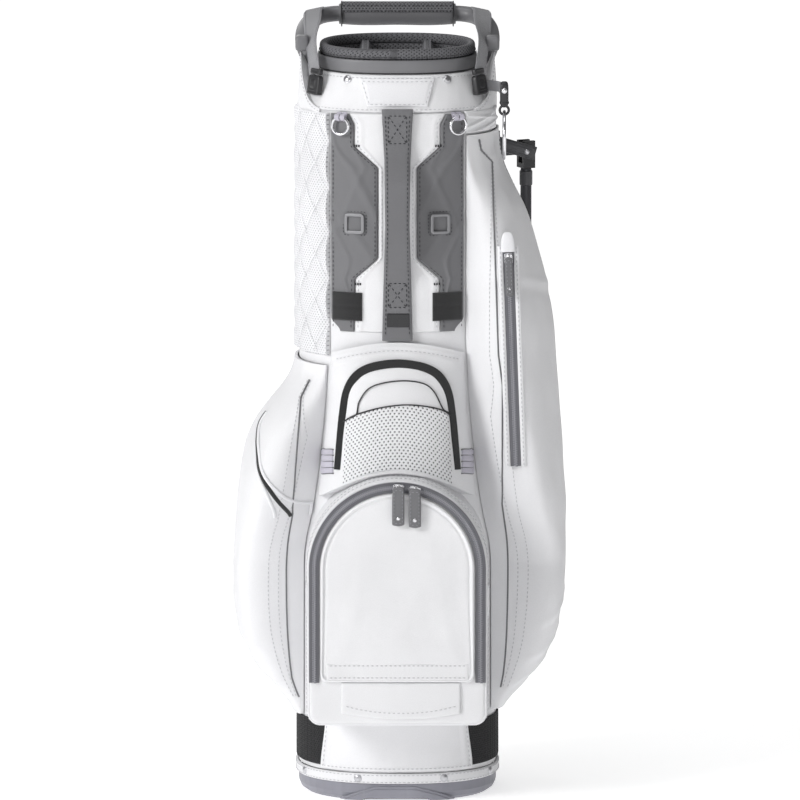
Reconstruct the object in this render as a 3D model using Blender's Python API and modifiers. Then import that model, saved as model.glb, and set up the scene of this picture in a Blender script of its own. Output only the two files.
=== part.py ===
"""A golf stand bag: a hollow oval tube on a moulded foot, with a divided cuff, pockets, handles,
straps, zips, rings and a pair of folding legs. Metres, +Z up, the front towards -Y."""

import math

import bmesh
import bpy
from mathutils import Matrix, Vector

# Oval body: (height, half width, half depth), straight between the rows.
BODY = (
    (0.0000, 0.1150, 0.1060), (0.7000, 0.1135, 0.1010),
    (0.8000, 0.1130, 0.1000), (0.8455, 0.0905, 0.0825),
)
SQUARENESS = 2.4
AROUND = 48
WALL = 0.0025
SKIN_GAP = 0.0012
FIT_GAP = 0.0005

# Foot and lower tube.
BASE_TOP = 0.0205
RIM_BAND = (0.0210, 0.0330)
TUBE_BOTTOM = 0.0335
TUBE_TOP = 0.8450
GUSSET_HEIGHT = (0.038, 0.0915)

# Cuff and dividers.
COLLAR = (0.8460, 0.8615)
CUFF_PAD_TOP = 0.8740
CUFF_HALF = (0.0900, 0.0820)
CUFF_OPENING = (0.0805, 0.0725)
DIVIDER_X = (-0.0370, 0.0350)
DIVIDER_WIDTH = 0.0110
DIVIDER_HEIGHT = (0.8370, 0.8670)
SHEET_THICK = 0.0020

# Lift handle behind the cuff.
HANDLE_Y = 0.1150
HANDLE_Z = 0.8915
HANDLE_TUBE = 0.0095
GRIP_HALF = 0.0680
GRIP_RADIUS = 0.0135
LUG_PLACE = (0.1100, -0.0020, 0.8720)
BUCKLE_TURN = math.radians(58.0)
BUCKLE_Z = 0.8320

# Front panels between the yoke and the pockets. Tables run up by height.
YOKE_Z = (0.8035, 0.8445)
YOKE_TURNS = (-150.0, 95.0)
PATCH_Z = (0.8100, 0.8410)
PATCH_HALF = (0.0340, 0.0420)
PANEL_Z = (0.5490, 0.8010)
PANEL_SIDE_X = 0.0750
NECK_X = (
    (0.5490, 0.0490), (0.6110, 0.0490), (0.6310, 0.0220), (0.7430, 0.0220),
    (0.7630, 0.0490), (0.7900, 0.0490), (0.8010, 0.0550),
)
SPINE_Z = (0.5400, 0.8080)
SPINE_RISE = (
    (0.5400, 0.0008), (0.6050, 0.0008), (0.6250, 0.0080), (0.6500, 0.0200),
    (0.7280, 0.0200), (0.7500, 0.0080), (0.7710, 0.0012), (0.8080, 0.0050),
)
SPINE_HALF = ((0.5400, 0.0175), (0.6050, 0.0160), (0.6750, 0.0140), (0.7500, 0.0150), (0.8080, 0.0180))
FRAME_X = 0.0480
FRAME_Z = 0.6750
RING_X = (-0.0620, 0.0660)
RING_TOP_Z = 0.7980
RING_RADIUS = 0.0100
RING_WIRE = 0.0016

# Pockets.
ARCH_CENTRE_Z = 0.2865
ARCH_RADIUS = 0.1035
ARCH_FOOT_Z = 0.1040
BALL_FRONT_Y = -0.1860
ZIP_RADIUS = 0.0955
ZIP_WIDTH = 0.0120
ZIP_FOOT_Z = 0.1550
SLIDER_X = (0.0010, 0.0200)
PULL_LENGTH = 0.0460
COLUMN_HALF = ((0.3450, 0.0910), (0.3900, 0.0860), (0.4600, 0.0790), (0.5380, 0.0745))
COLUMN_DEPTH = ((0.3450, 0.0480), (0.3900, 0.0440), (0.4500, 0.0340), (0.5000, 0.0220), (0.5400, 0.0050))
TRIM_FOOT_Z = 0.3950
TRIM_SPRING_Z = 0.4640
TRIM_RADIUS = 0.0600
SIDE_SEAM_X = (
    (0.0900, 0.1075), (0.2900, 0.1070), (0.3400, 0.0960), (0.3900, 0.0890),
    (0.4600, 0.0820), (0.5450, 0.0775), (0.8000, 0.0775),
)
LEFT_REACH = (
    (0.0930, 0.118), (0.1000, 0.124), (0.1240, 0.145), (0.1460, 0.164), (0.1760, 0.180),
    (0.2050, 0.189), (0.2410, 0.192), (0.2810, 0.190), (0.3490, 0.186), (0.3970, 0.180),
    (0.4270, 0.170), (0.4470, 0.158), (0.4700, 0.136), (0.4880, 0.121), (0.5080, 0.119),
)
RIGHT_REACH = (
    (0.0990, 0.118), (0.1100, 0.137), (0.1340, 0.155), (0.1470, 0.165), (0.1750, 0.182),
    (0.2070, 0.190), (0.2420, 0.196), (0.3580, 0.197), (0.4890, 0.188), (0.5620, 0.182),
    (0.6100, 0.173), (0.6660, 0.156), (0.7020, 0.142), (0.7300, 0.123), (0.7410, 0.118),
    (0.7750, 0.117),
)
SIDE_ZIP_CENTRE = Vector((0.1323, 0.5568, 0.5100))
SIDE_ZIP_RADIUS = 0.6800
SIDE_ZIP_LEAN = -0.0370
SIDE_ZIP_ANGLES = (11.9, -9.7)

# Hook and towel ring at the right of the yoke.
HOOK_X = 0.1230
HOOK_Y = -0.0560
TOWEL_RING = 0.0270

# Folding legs at the right rear, mirrored in the vertical plane at 45 degrees.
STAND_ANGLE = math.radians(45.0)
LEG_SPREAD = math.radians(18.0)
LEG_PIVOT = Vector((0.1494, 0.0550, 0.7390))
LEG_RADIUS = 0.0065
LEG_FOOT_Z = 0.1280

FINISHES = {
    "white_leather": ((0.84, 0.84, 0.86), 0.45, 0.0),
    "white_quilted": ((0.82, 0.82, 0.84), 0.50, 0.0),
    "gray_leather": ((0.22, 0.22, 0.23), 0.50, 0.0),
    "gray_plastic": ((0.20, 0.20, 0.21), 0.45, 0.0),
    "base_plastic": ((0.28, 0.28, 0.31), 0.45, 0.0),
    "gray_pad": ((0.13, 0.13, 0.14), 0.80, 0.0),
    "dark_plastic": ((0.03, 0.03, 0.03), 0.40, 0.0),
    "stand_metal": ((0.07, 0.07, 0.08), 0.35, 0.8),
    "black_mesh": ((0.02, 0.02, 0.02), 0.90, 0.0),
    "black_webbing": ((0.01, 0.01, 0.01), 0.85, 0.0),
    "gray_webbing": ((0.30, 0.30, 0.31), 0.80, 0.0),
    "zip_coil": ((0.18, 0.18, 0.20), 0.60, 0.0),
    "steel": ((0.60, 0.60, 0.62), 0.25, 1.0),
    "rubber": ((0.02, 0.02, 0.02), 0.85, 0.0),
    "divider_cloth": ((0.10, 0.10, 0.11), 0.90, 0.0),
}


def signed_power(value, power):
    return math.copysign(abs(value) ** power, value)


def lerp(start, end, share):
    return start + (end - start) * share


def table(rows, height):
    """The values of a table of (height, value, ...) rows at a height, straight between rows."""
    rows = sorted(rows)
    height = min(max(height, rows[0][0]), rows[-1][0])
    for low, high in zip(rows, rows[1:]):
        if height <= high[0]:
            share = (height - low[0]) / (high[0] - low[0])
            return [lerp(a, b, share) for a, b in zip(low[1:], high[1:])]
    return list(rows[-1][1:])


def body_point(turn, z, out=0.0):
    """A point of the oval body: turn is 0 at the front, 90 degrees at +X and 180 at the back."""
    half_width, half_depth = table(BODY, z)
    x = (half_width + out) * signed_power(math.sin(turn), 2 / SQUARENESS)
    y = -(half_depth + out) * signed_power(math.cos(turn), 2 / SQUARENESS)
    return Vector((x, y, z))


def turn_at(x, z):
    """The turn at which the front half of the body has this x."""
    half_width = table(BODY, z)[0]
    return math.asin(signed_power(max(-1.0, min(1.0, x / half_width)), SQUARENESS / 2))


def front_point(x, z, out=0.0):
    return body_point(turn_at(x, z), z, out)


def facing(turn, z, out=0.0):
    """A matrix on the body's surface: local X along it, local Y up it and local Z out of it."""
    step = 1e-4
    along = (body_point(turn + step, z) - body_point(turn - step, z)).normalized()
    up = (body_point(turn, z + step) - body_point(turn, z - step)).normalized()
    outward = along.cross(up).normalized()
    matrix = Matrix((along, outward.cross(along), outward)).transposed().to_4x4()
    matrix.translation = body_point(turn, z) + outward * out
    return matrix


def distance_to_body(point, direction, out):
    """How far to go from an outside point along -direction to be only out from the body."""
    half_width, half_depth = table(BODY, point.z)
    distance = 0.0
    while True:
        place = point - direction * distance
        share = abs(place.x / (half_width + out)) ** SQUARENESS
        share += abs(place.y / (half_depth + out)) ** SQUARENESS
        if share <= 1.0:
            return distance
        distance += 0.0005


def clear_scene():
    for thing in list(bpy.data.objects):
        bpy.data.objects.remove(thing, do_unlink=True)


def new_collection(name):
    collection = bpy.data.collections.new(name)
    bpy.context.scene.collection.children.link(collection)
    return collection


def finish_of(name):
    """The Principled material of a finish, made on its first use."""
    if name in bpy.data.materials:
        return bpy.data.materials[name]
    colour, roughness, metallic = FINISHES[name]
    made = bpy.data.materials.new(name)
    made.use_nodes = True
    shader = made.node_tree.nodes["Principled BSDF"]
    shader.inputs["Base Color"].default_value = (*colour, 1.0)
    shader.inputs["Roughness"].default_value = roughness
    shader.inputs["Metallic"].default_value = metallic
    made.diffuse_color = (*colour, 1.0)
    return made


def add_object(name, data, finish):
    thing = bpy.data.objects.new(name, data)
    if finish:
        data.materials.append(finish_of(finish))
        parts.objects.link(thing)
    else:
        thing.hide_render = True
        thing.display_type = "WIRE"
        cutters.objects.link(thing)
    return thing


def object_from(name, bm, finish):
    """An object from a closed bmesh, with its faces turned out and its round faces smooth."""
    bmesh.ops.recalc_face_normals(bm, faces=bm.faces)
    mesh = bpy.data.meshes.new(name)
    bm.to_mesh(mesh)
    bm.free()
    mesh.shade_smooth()
    mesh.set_sharp_from_angle(angle=math.radians(35.0))
    return add_object(name, mesh, finish)


def skin(name, surface, columns, rows, thick, finish):
    """An open sheet surface(across, up), both 0 to 1, thickened outwards by Solidify."""
    bm = bmesh.new()
    bmesh.ops.create_grid(bm, x_segments=columns, y_segments=rows, size=0.5)
    for vertex in bm.verts:
        vertex.co = surface(vertex.co.x + 0.5, vertex.co.y + 0.5)
    mesh = bpy.data.meshes.new(name)
    bm.to_mesh(mesh)
    bm.free()
    mesh.shade_smooth()
    sheet = add_object(name, mesh, finish)
    solidify = sheet.modifiers.new("Thickness", "SOLIDIFY")
    solidify.thickness = thick
    solidify.offset = 1.0
    return sheet


def block(name, inner, outer, columns, rows, finish):
    """A closed block between two unlike surfaces inner and outer of (across, up), both 0 to 1."""
    bm = bmesh.new()
    layers = []
    for surface in (inner, outer):
        layers.append([[bm.verts.new(surface(i / columns, j / rows)) for i in range(columns + 1)]
                       for j in range(rows + 1)])
    for layer in layers:
        for j in range(rows):
            for i in range(columns):
                bm.faces.new((layer[j][i], layer[j][i + 1], layer[j + 1][i + 1], layer[j + 1][i]))
    edge = [(0, i) for i in range(columns)] + [(j, columns) for j in range(rows)]
    edge += [(rows, i) for i in range(columns, 0, -1)] + [(j, 0) for j in range(rows, 0, -1)]
    for (j, i), (next_j, next_i) in zip(edge, edge[1:] + edge[:1]):
        bm.faces.new((layers[0][j][i], layers[0][next_j][next_i],
                      layers[1][next_j][next_i], layers[1][j][i]))
    return object_from(name, bm, finish)


def loft(name, rings, finish, capped=False, around=AROUND):
    """Oval rings (z, half width, half depth) joined in turn, closed by caps or back to the first."""
    bm = bmesh.new()
    loops = []
    for z, half_width, half_depth in rings:
        loop = []
        for step in range(around):
            turn = 2 * math.pi * step / around
            x = half_width * signed_power(math.sin(turn), 2 / SQUARENESS)
            y = -half_depth * signed_power(math.cos(turn), 2 / SQUARENESS)
            loop.append(bm.verts.new((x, y, z)))
        loops.append(loop)
    pairs = list(zip(loops, loops[1:]))
    if capped:
        bm.faces.new(loops[0])
        bm.faces.new(loops[-1])
    else:
        pairs.append((loops[-1], loops[0]))
    for low, high in pairs:
        for i in range(around):
            j = (i + 1) % around
            bm.faces.new((low[i], low[j], high[j], high[i]))
    return object_from(name, bm, finish)


def box(name, size, matrix, finish, rounding=0.0):
    bm = bmesh.new()
    bmesh.ops.create_cube(bm, size=1.0, matrix=Matrix.Diagonal((*size, 1.0)))
    thing = object_from(name, bm, finish)
    thing.matrix_world = matrix
    if rounding:
        bevel = thing.modifiers.new("Rounding", "BEVEL")
        bevel.width = rounding
        bevel.segments = 2
    return thing


def rod(name, radius, length, matrix, finish, sides=16, end_radius=None):
    """A round bar along local Z, centred on the matrix."""
    bm = bmesh.new()
    bmesh.ops.create_cone(bm, cap_ends=True, segments=sides, radius1=radius,
                          radius2=radius if end_radius is None else end_radius, depth=length)
    thing = object_from(name, bm, finish)
    thing.matrix_world = matrix
    return thing


def plate(name, outlines, thick, matrix, finish, rounding=0.0):
    """A flat outline with holes in local XY, extruded both ways along local Z."""
    curve = bpy.data.curves.new(name, "CURVE")
    curve.dimensions = "2D"
    curve.fill_mode = "BOTH"
    curve.extrude = thick / 2 - rounding
    curve.bevel_depth = rounding
    curve.bevel_resolution = 1
    curve.offset = -rounding
    for outline in outlines:
        spline = curve.splines.new("POLY")
        spline.points.add(len(outline) - 1)
        for point, (x, y) in zip(spline.points, outline):
            point.co = (x, y, 0.0, 1.0)
        spline.use_cyclic_u = True
    thing = add_object(name, curve, finish)
    thing.matrix_world = matrix
    return thing


def tube_along(name, route, radius, finish):
    """A round tube along a smooth open route."""
    curve = bpy.data.curves.new(name, "CURVE")
    curve.dimensions = "3D"
    curve.bevel_depth = radius
    curve.bevel_resolution = 2
    curve.use_fill_caps = True
    spline = curve.splines.new("POLY")
    spline.points.add(len(route) - 1)
    for point, place in zip(spline.points, route):
        point.co = (*place, 1.0)
    return add_object(name, curve, finish)


def smooth_route(points, steps):
    """Points along a Catmull-Rom curve through the given ones."""
    points = [Vector(point) for point in points]
    points = [2 * points[0] - points[1]] + points + [2 * points[-1] - points[-2]]
    route = []
    for before, start, end, after in zip(points, points[1:], points[2:], points[3:]):
        for step in range(steps):
            t = step / steps
            route.append(0.5 * (2 * start + (end - before) * t
                                + (2 * before - 5 * start + 4 * end - after) * t ** 2
                                + (3 * start - before - 3 * end + after) * t ** 3))
    return route + [points[-2]]


def as_mesh(thing):
    """The curve object as a welded mesh object of the same name and place."""
    graph = bpy.context.evaluated_depsgraph_get()
    mesh = bpy.data.meshes.new_from_object(thing.evaluated_get(graph))
    bm = bmesh.new()
    bm.from_mesh(mesh)
    bmesh.ops.remove_doubles(bm, verts=bm.verts, dist=1e-6)
    bmesh.ops.recalc_face_normals(bm, faces=bm.faces)
    bm.to_mesh(mesh)
    bm.free()
    name = thing.name
    place = thing.matrix_world.copy()
    owner = thing.users_collection[0]
    bpy.data.objects.remove(thing, do_unlink=True)
    made = bpy.data.objects.new(name, mesh)
    made.matrix_world = place
    owner.objects.link(made)
    return made


def boolean(thing, other, operation):
    modifier = thing.modifiers.new(f"{operation.title()} {other.name}", "BOOLEAN")
    modifier.operation = operation
    modifier.object = other
    return thing


def arc(radius, start, end, steps, centre=(0.0, 0.0)):
    """Points of an arc from start to end degrees."""
    angles = [math.radians(lerp(start, end, step / steps)) for step in range(steps + 1)]
    return [(centre[0] + radius * math.cos(a), centre[1] + radius * math.sin(a)) for a in angles]


def arch(radius, foot, corner=0.0):
    """An outline with a round top about the origin and legs down to foot, its corners rounded."""
    top = arc(radius, 0.0, 180.0, 20)
    if not corner:
        return top + [(-radius, foot), (radius, foot)]
    low_left = arc(corner, 180.0, 270.0, 4, (-radius + corner, foot + corner))
    low_right = arc(corner, 270.0, 360.0, 4, (radius - corner, foot + corner))
    return top + low_left + low_right


def rectangle(width, height):
    x, y = width / 2, height / 2
    return [(-x, -y), (x, -y), (x, y), (-x, y)]


def front_plane(x, y, z):
    """A matrix at a point with local X to +X, local Y up and local Z to the front."""
    matrix = Matrix(((1, 0, 0), (0, 0, -1), (0, 1, 0))).to_4x4()
    matrix.translation = Vector((x, y, z))
    return matrix


def hinge_at(name, place, parent=None):
    """An empty on a joint's axis, which the pieces of the joint's body hang from."""
    empty = bpy.data.objects.new(name, None)
    empty.empty_display_size = 0.01
    parts.objects.link(empty)
    empty.location = place
    if parent:
        empty.parent = parent
        empty.matrix_parent_inverse = Matrix.Translation(-parent.location)
    return empty


def hang(thing, empty):
    thing.parent = empty
    thing.matrix_parent_inverse = Matrix.Translation(-empty.location)
    return thing


def make_foot_and_tube():
    """The moulded cup, the band above it, the tube and the mesh gussets at its sides."""
    cup = loft("base_shell", (
        (0.0060, 0.1060, 0.0970), (BASE_TOP, 0.1105, 0.1015), (BASE_TOP, 0.1150, 0.1060),
        (0.0100, 0.1150, 0.1060), (0.0040, 0.1125, 0.1035), (0.0000, 0.1070, 0.0980),
    ), "base_plastic", capped=True)
    notch = box("front_notch", (0.0730, 0.0300, 0.0060), Matrix.Translation((-0.0010, -0.1050, 0.0)), None)
    boolean(cup, notch, "DIFFERENCE")
    recess = box("lever_recess", (0.0600, 0.0540, 0.0220), stand_frame(0.1010, 0.0085), None)
    boolean(cup, recess, "DIFFERENCE")
    low, high = RIM_BAND
    loft("base_rim_band", (
        (low, 0.1180, 0.1090), (high, 0.1180, 0.1090), (high, 0.1140, 0.1050), (low, 0.1140, 0.1050),
    ), "white_leather")
    outline = [row for row in BODY if TUBE_BOTTOM < row[0] < TUBE_TOP]
    outline = [(TUBE_BOTTOM, *table(BODY, TUBE_BOTTOM)), *outline, (TUBE_TOP, *table(BODY, TUBE_TOP))]
    inside = [(z, width - WALL, depth - WALL) for z, width, depth in reversed(outline)]
    loft("tube_shell", outline + inside, "white_leather")
    for name, turns in (("left", (-130.0, -50.0)), ("right", (50.0, 120.0))):
        def gusset(across, up, turns=turns):
            return body_point(math.radians(lerp(*turns, across)), lerp(*GUSSET_HEIGHT, up), SKIN_GAP)
        skin(f"flex_gusset_{name}", gusset, 10, 1, 0.0015, "black_mesh")


def stand_frame(out, z):
    """A matrix at the stand's angle: local X along the body, local Y outwards, local Z up."""
    outward = Vector((math.cos(STAND_ANGLE), math.sin(STAND_ANGLE), 0.0))
    along = Vector((outward.y, -outward.x, 0.0))
    matrix = Matrix((along, outward, (0.0, 0.0, 1.0))).transposed().to_4x4()
    matrix.translation = outward * out + Vector((0.0, 0.0, z))
    return matrix


def make_cuff():
    """The collar, its padded rim, the divider grid and the two full-length divider sheets."""
    low, high = COLLAR
    wall = 0.0040
    loft("top_cuff", (
        (low, 0.0915, 0.0835), (high, 0.0905, 0.0825),
        (high, 0.0905 - wall, 0.0825 - wall), (low, 0.0915 - wall, 0.0835 - wall),
    ), "gray_plastic")
    width, depth = CUFF_HALF
    open_width, open_depth = CUFF_OPENING
    rim_low = high + FIT_GAP
    loft("cuff_pad", (
        (rim_low, width, depth), (CUFF_PAD_TOP - 0.0035, width, depth),
        (CUFF_PAD_TOP, width - 0.0035, depth - 0.0035),
        (CUFF_PAD_TOP, open_width + 0.0025, open_depth + 0.0025),
        (CUFF_PAD_TOP - 0.0030, open_width, open_depth), (rim_low, open_width, open_depth),
    ), "gray_pad")
    bar_low, bar_high = DIVIDER_HEIGHT
    middle = (bar_low + bar_high) / 2
    height = bar_high - bar_low
    bars = []
    for number, x in enumerate(DIVIDER_X):
        bars.append(box(f"divider_bar_{number}", (DIVIDER_WIDTH, 0.1270, height),
                        Matrix.Translation((x, 0.0, middle)), None))
    grid = box("divider_frame", (0.1530, DIVIDER_WIDTH - 0.0010, height - 0.0020),
               Matrix.Translation((0.0, 0.0, middle)), "gray_pad")
    for bar in bars:
        boolean(grid, bar, "UNION")
    for name, x in zip(("left", "right"), DIVIDER_X):
        outline = [(-0.0880, 0.0450), (0.0880, 0.0450), (0.0880, 0.7900), (0.0650, bar_low - FIT_GAP),
                   (-0.0650, bar_low - FIT_GAP), (-0.0880, 0.7900)]
        across = Matrix(((0, 0, 1), (1, 0, 0), (0, 1, 0))).to_4x4()
        across.translation = Vector((x, 0.0, 0.0))
        plate(f"divider_sheet_{name}", [outline], SHEET_THICK, across, "divider_cloth")


def make_lift_handle():
    """The moulded loop behind the cuff, its grip sleeve, the side lugs and the buckles."""
    half = ((GRIP_HALF + 0.0060, HANDLE_Y, HANDLE_Z), (0.0920, 0.1050, 0.8890), (0.1055, 0.0780, 0.8820),
            (0.1100, 0.0500, 0.8690), (0.1095, 0.0350, 0.8480), (0.1150, 0.0300, 0.8270))
    curved = smooth_route(half, 3)
    left = [(-x, y, z) for x, y, z in reversed(curved)]
    tube_along("lift_handle", left + curved, HANDLE_TUBE, "gray_plastic")
    lying = Matrix.Translation((0.0, HANDLE_Y, HANDLE_Z)) @ Matrix.Rotation(math.pi / 2, 4, "Y")
    sleeve = rod("handle_grip", GRIP_RADIUS, 2 * GRIP_HALF, lying, "gray_pad", 20)
    hole = rod("grip_hole", HANDLE_TUBE + 0.0008, 3 * GRIP_HALF, lying, None, 20)
    boolean(sleeve, hole, "DIFFERENCE")
    for side, name in ((-1, "left"), (1, "right")):
        lug_place = Matrix.Translation((side * LUG_PLACE[0], *LUG_PLACE[1:]))
        box(f"strap_lug_{name}", (0.0160, 0.0200, 0.0180), lug_place, "gray_plastic", 0.0030)
        place = facing(side * BUCKLE_TURN, BUCKLE_Z, 0.0120)
        body_place = place @ Matrix.Translation((0.0, -0.0050, 0.0))
        box(f"buckle_body_{name}", (0.0230, 0.0190, 0.0080), body_place, "dark_plastic", 0.0015)
        insert_place = place @ Matrix.Translation((0.0, 0.0085, 0.0))
        box(f"buckle_insert_{name}", (0.0200, 0.0070, 0.0060), insert_place, "dark_plastic", 0.0010)


def make_front_panels():
    """The yoke, its patch, the quilted and gray panels and the spine handle."""
    def yoke(across, up):
        return body_point(math.radians(lerp(*YOKE_TURNS, across)), lerp(*YOKE_Z, up), SKIN_GAP)
    skin("yoke_panel", yoke, 36, 2, 0.0016, "white_leather")

    def patch(across, up):
        x = lerp(-1, 1, across) * lerp(*PATCH_HALF, up)
        return front_point(x, lerp(*PATCH_Z, up), SKIN_GAP + 0.0026)
    skin("emblem_patch", patch, 8, 1, 0.0016, "white_leather")

    def quilt(across, up):
        z = lerp(PANEL_Z[0] - 0.0300, PANEL_Z[1], up)
        return body_point(lerp(math.radians(-120.0), turn_at(-0.0770, z), across), z, SKIN_GAP)
    skin("quilted_panel", quilt, 12, 6, 0.0030, "white_quilted")
    heights = [z for z, _ in NECK_X]
    for side, name in ((-1, "left"), (1, "right")):
        def panel(across, up, side=side):
            z = heights[round(up * (len(heights) - 1))]
            x = lerp(table(NECK_X, z)[0], PANEL_SIDE_X, across if side > 0 else 1 - across)
            return front_point(side * x, z, SKIN_GAP)
        skin(f"side_panel_{name}", panel, 6, len(heights) - 1, 0.0020, "gray_leather")

    def spine(across, up):
        z = lerp(*SPINE_Z, up)
        x = lerp(-1, 1, across) * table(SPINE_HALF, z)[0]
        return Vector((x, body_point(0.0, z).y - SKIN_GAP - table(SPINE_RISE, z)[0], z))
    skin("spine_handle", spine, 4, 22, 0.0050, "gray_leather")


def make_front_hardware():
    """The rings on their loops, the square frames and the black webbing loops."""
    eye = 0.0034
    for name, x in zip(("left", "right"), RING_X):
        place = facing(turn_at(x, RING_TOP_Z), RING_TOP_Z, 0.0090)
        axis = place @ Matrix(((0, 0, 1, 0), (1, 0, 0, 0), (0, 1, 0, 0), (0, 0, 0, 1)))
        outer = arc(0.0050, -30.0, 270.0, 20) + [(0.0150, -0.0050), (0.0150, -0.0026)]
        plate(f"ring_loop_{name}", [outer, arc(eye, 0.0, 345.0, 23)], 0.0080, axis, "gray_webbing")
        pivot = hinge_at(f"ring_{name}_axis", place.translation)
        down = place.col[1].to_3d() * -RING_RADIUS
        bpy.ops.mesh.primitive_torus_add(major_radius=RING_RADIUS, minor_radius=RING_WIRE,
                                         major_segments=24, minor_segments=8)
        hang(take_primitive(f"ring_{name}", Matrix.Translation(down) @ place, "steel"), pivot)
    for side, name in ((-1, "left"), (1, "right")):
        place = facing(turn_at(side * FRAME_X, FRAME_Z), FRAME_Z, 0.0052)
        plate(f"square_frame_{name}", [rectangle(0.0240, 0.0240), rectangle(0.0160, 0.0160)],
              0.0026, place, "steel")

        def loop(raised, side=side):
            def surface(across, up):
                z = lerp(0.5620, 0.5950, up)
                x = side * lerp(0.0390, 0.0720, across if side > 0 else 1 - across)
                return front_point(x, z, SKIN_GAP + (0.0060 if raised else 0.0026))
            return surface
        block(f"strap_loop_{name}", loop(False), loop(True), 4, 2, "black_webbing")


def take_primitive(name, matrix, finish):
    """The primitive just added, renamed, placed and moved to the parts' collection."""
    thing = bpy.context.object
    for collection in thing.users_collection:
        collection.objects.unlink(thing)
    parts.objects.link(thing)
    thing.name = name
    thing.data.name = name
    thing.data.materials.append(finish_of(finish))
    thing.data.shade_smooth()
    thing.matrix_world = matrix
    return thing


def vault(x):
    """The height of the ball pocket's round top at this x."""
    reach = min(abs(x), ARCH_RADIUS)
    return ARCH_CENTRE_Z + math.sqrt(ARCH_RADIUS ** 2 - reach ** 2)


def column_half(z):
    """The half width of the accessory pocket at a height."""
    return table(COLUMN_HALF, z)[0]


def accessory_front(x, z, out=0.0):
    """A point of the accessory pocket's bulging front."""
    depth = table(COLUMN_DEPTH, z)[0]
    share = min(1.0, abs(x) / column_half(z))
    bulge = 0.0030 + (depth - 0.0030) * (1 - share ** 4) ** 0.5
    return front_point(x, z, SKIN_GAP) + Vector((0.0, -bulge - out, 0.0))


def make_accessory_pocket():
    """The bulging pocket on the spine and its black trim band."""
    def place(across, up):
        share = -math.cos(math.pi * across)
        x = share * column_half(0.4600)
        low = vault(x) + 0.0020
        high = 0.5380 - 0.0140 * share ** 2
        z = lerp(low, high, up)
        return share * column_half(z), z

    def inner(across, up):
        x, z = place(across, up)
        return front_point(x, z, SKIN_GAP)

    def outer(across, up):
        return accessory_front(*place(across, up))
    block("accessory_pocket", inner, outer, 14, 8, "white_leather")

    def trim_point(along, out):
        """A point of the arch that the trim follows, widened by out."""
        leg = TRIM_SPRING_Z - TRIM_FOOT_Z
        total = 2 * leg + math.pi * TRIM_RADIUS
        distance = along * total
        if distance < leg:
            return -TRIM_RADIUS - out, TRIM_FOOT_Z + distance
        if distance > total - leg:
            return TRIM_RADIUS + out, TRIM_FOOT_Z + total - distance
        angle = (distance - leg) / TRIM_RADIUS
        x = -(TRIM_RADIUS + out) * math.cos(angle)
        return x, TRIM_SPRING_Z + (TRIM_RADIUS * 0.92 + out) * math.sin(angle)

    def trim(across, up):
        x, z = trim_point(across, lerp(-0.0045, 0.0045, up))
        return accessory_front(x, z, 0.0012)

    def trim_outer(across, up):
        return trim(across, up) + Vector((0.0, -0.0024, 0.0))
    block("accessory_trim", trim, trim_outer, 28, 1, "black_webbing")


def make_ball_pocket():
    """The box pocket with a round top, its front panel, coil zip, two sliders and their pulls."""
    depth = -BALL_FRONT_Y - 0.0200
    middle = front_plane(0.0, BALL_FRONT_Y + depth / 2, ARCH_CENTRE_Z)
    foot = ARCH_FOOT_Z - ARCH_CENTRE_Z
    solid = plate("ball_pocket", [arch(ARCH_RADIUS, foot, 0.0150)], depth, middle, "white_leather", 0.0060)
    pocket = as_mesh(solid)
    core_rings = [(z, width + SKIN_GAP, deep + SKIN_GAP) for z, width, deep in BODY[:2]]
    core = loft("body_core", core_rings, None, capped=True)
    boolean(pocket, core, "DIFFERENCE")
    panel_radius = ZIP_RADIUS - ZIP_WIDTH / 2 - 0.0006
    plate("ball_front_panel", [arch(panel_radius, ZIP_FOOT_Z - ARCH_CENTRE_Z, 0.0040)], 0.0040,
          front_plane(0.0, BALL_FRONT_Y - 0.0026, ARCH_CENTRE_Z), "white_leather", 0.0010)
    zip_foot = ZIP_FOOT_Z - ARCH_CENTRE_Z
    outside = arc(ZIP_RADIUS + ZIP_WIDTH / 2, 0.0, 180.0, 28)
    inside = arc(ZIP_RADIUS - ZIP_WIDTH / 2, 180.0, 0.0, 28)
    outline = [(outside[0][0], zip_foot), *outside, (outside[-1][0], zip_foot),
               (inside[0][0], zip_foot), *inside, (inside[-1][0], zip_foot)]
    zip_plane = front_plane(0.0, BALL_FRONT_Y - 0.0018, ARCH_CENTRE_Z)
    plate("ball_zipper", [outline], 0.0024, zip_plane, "zip_coil")
    for name, x in zip(("left", "right"), SLIDER_X):
        angle = math.asin(x / ZIP_RADIUS)
        z = ARCH_CENTRE_Z + ZIP_RADIUS * math.cos(angle)
        front = BALL_FRONT_Y - 0.0036
        centre = hinge_at(f"ball_slider_{name}_axis", (0.0, front, ARCH_CENTRE_Z))
        place = front_plane(x, front - 0.0032, z) @ Matrix.Rotation(-angle, 4, "Z")
        hang(box(f"ball_slider_{name}", (0.0130, 0.0090, 0.0060), place, "steel", 0.0012), centre)
        pivot = hinge_at(f"ball_pull_{name}_axis", (x, front - 0.0082, z + 0.0015), centre)
        tab = rectangle(0.0140, PULL_LENGTH)
        place = front_plane(x, front - 0.0082, z + 0.0015 - 0.0215)
        hang(plate(f"ball_pull_{name}", [tab], 0.0030, place, "gray_leather", 0.0010), pivot)


def side_pocket_start(z):
    """The x on the tube where a side pocket's front seam lies, clear of the middle pockets."""
    return table(SIDE_SEAM_X, z)[0]


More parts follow.
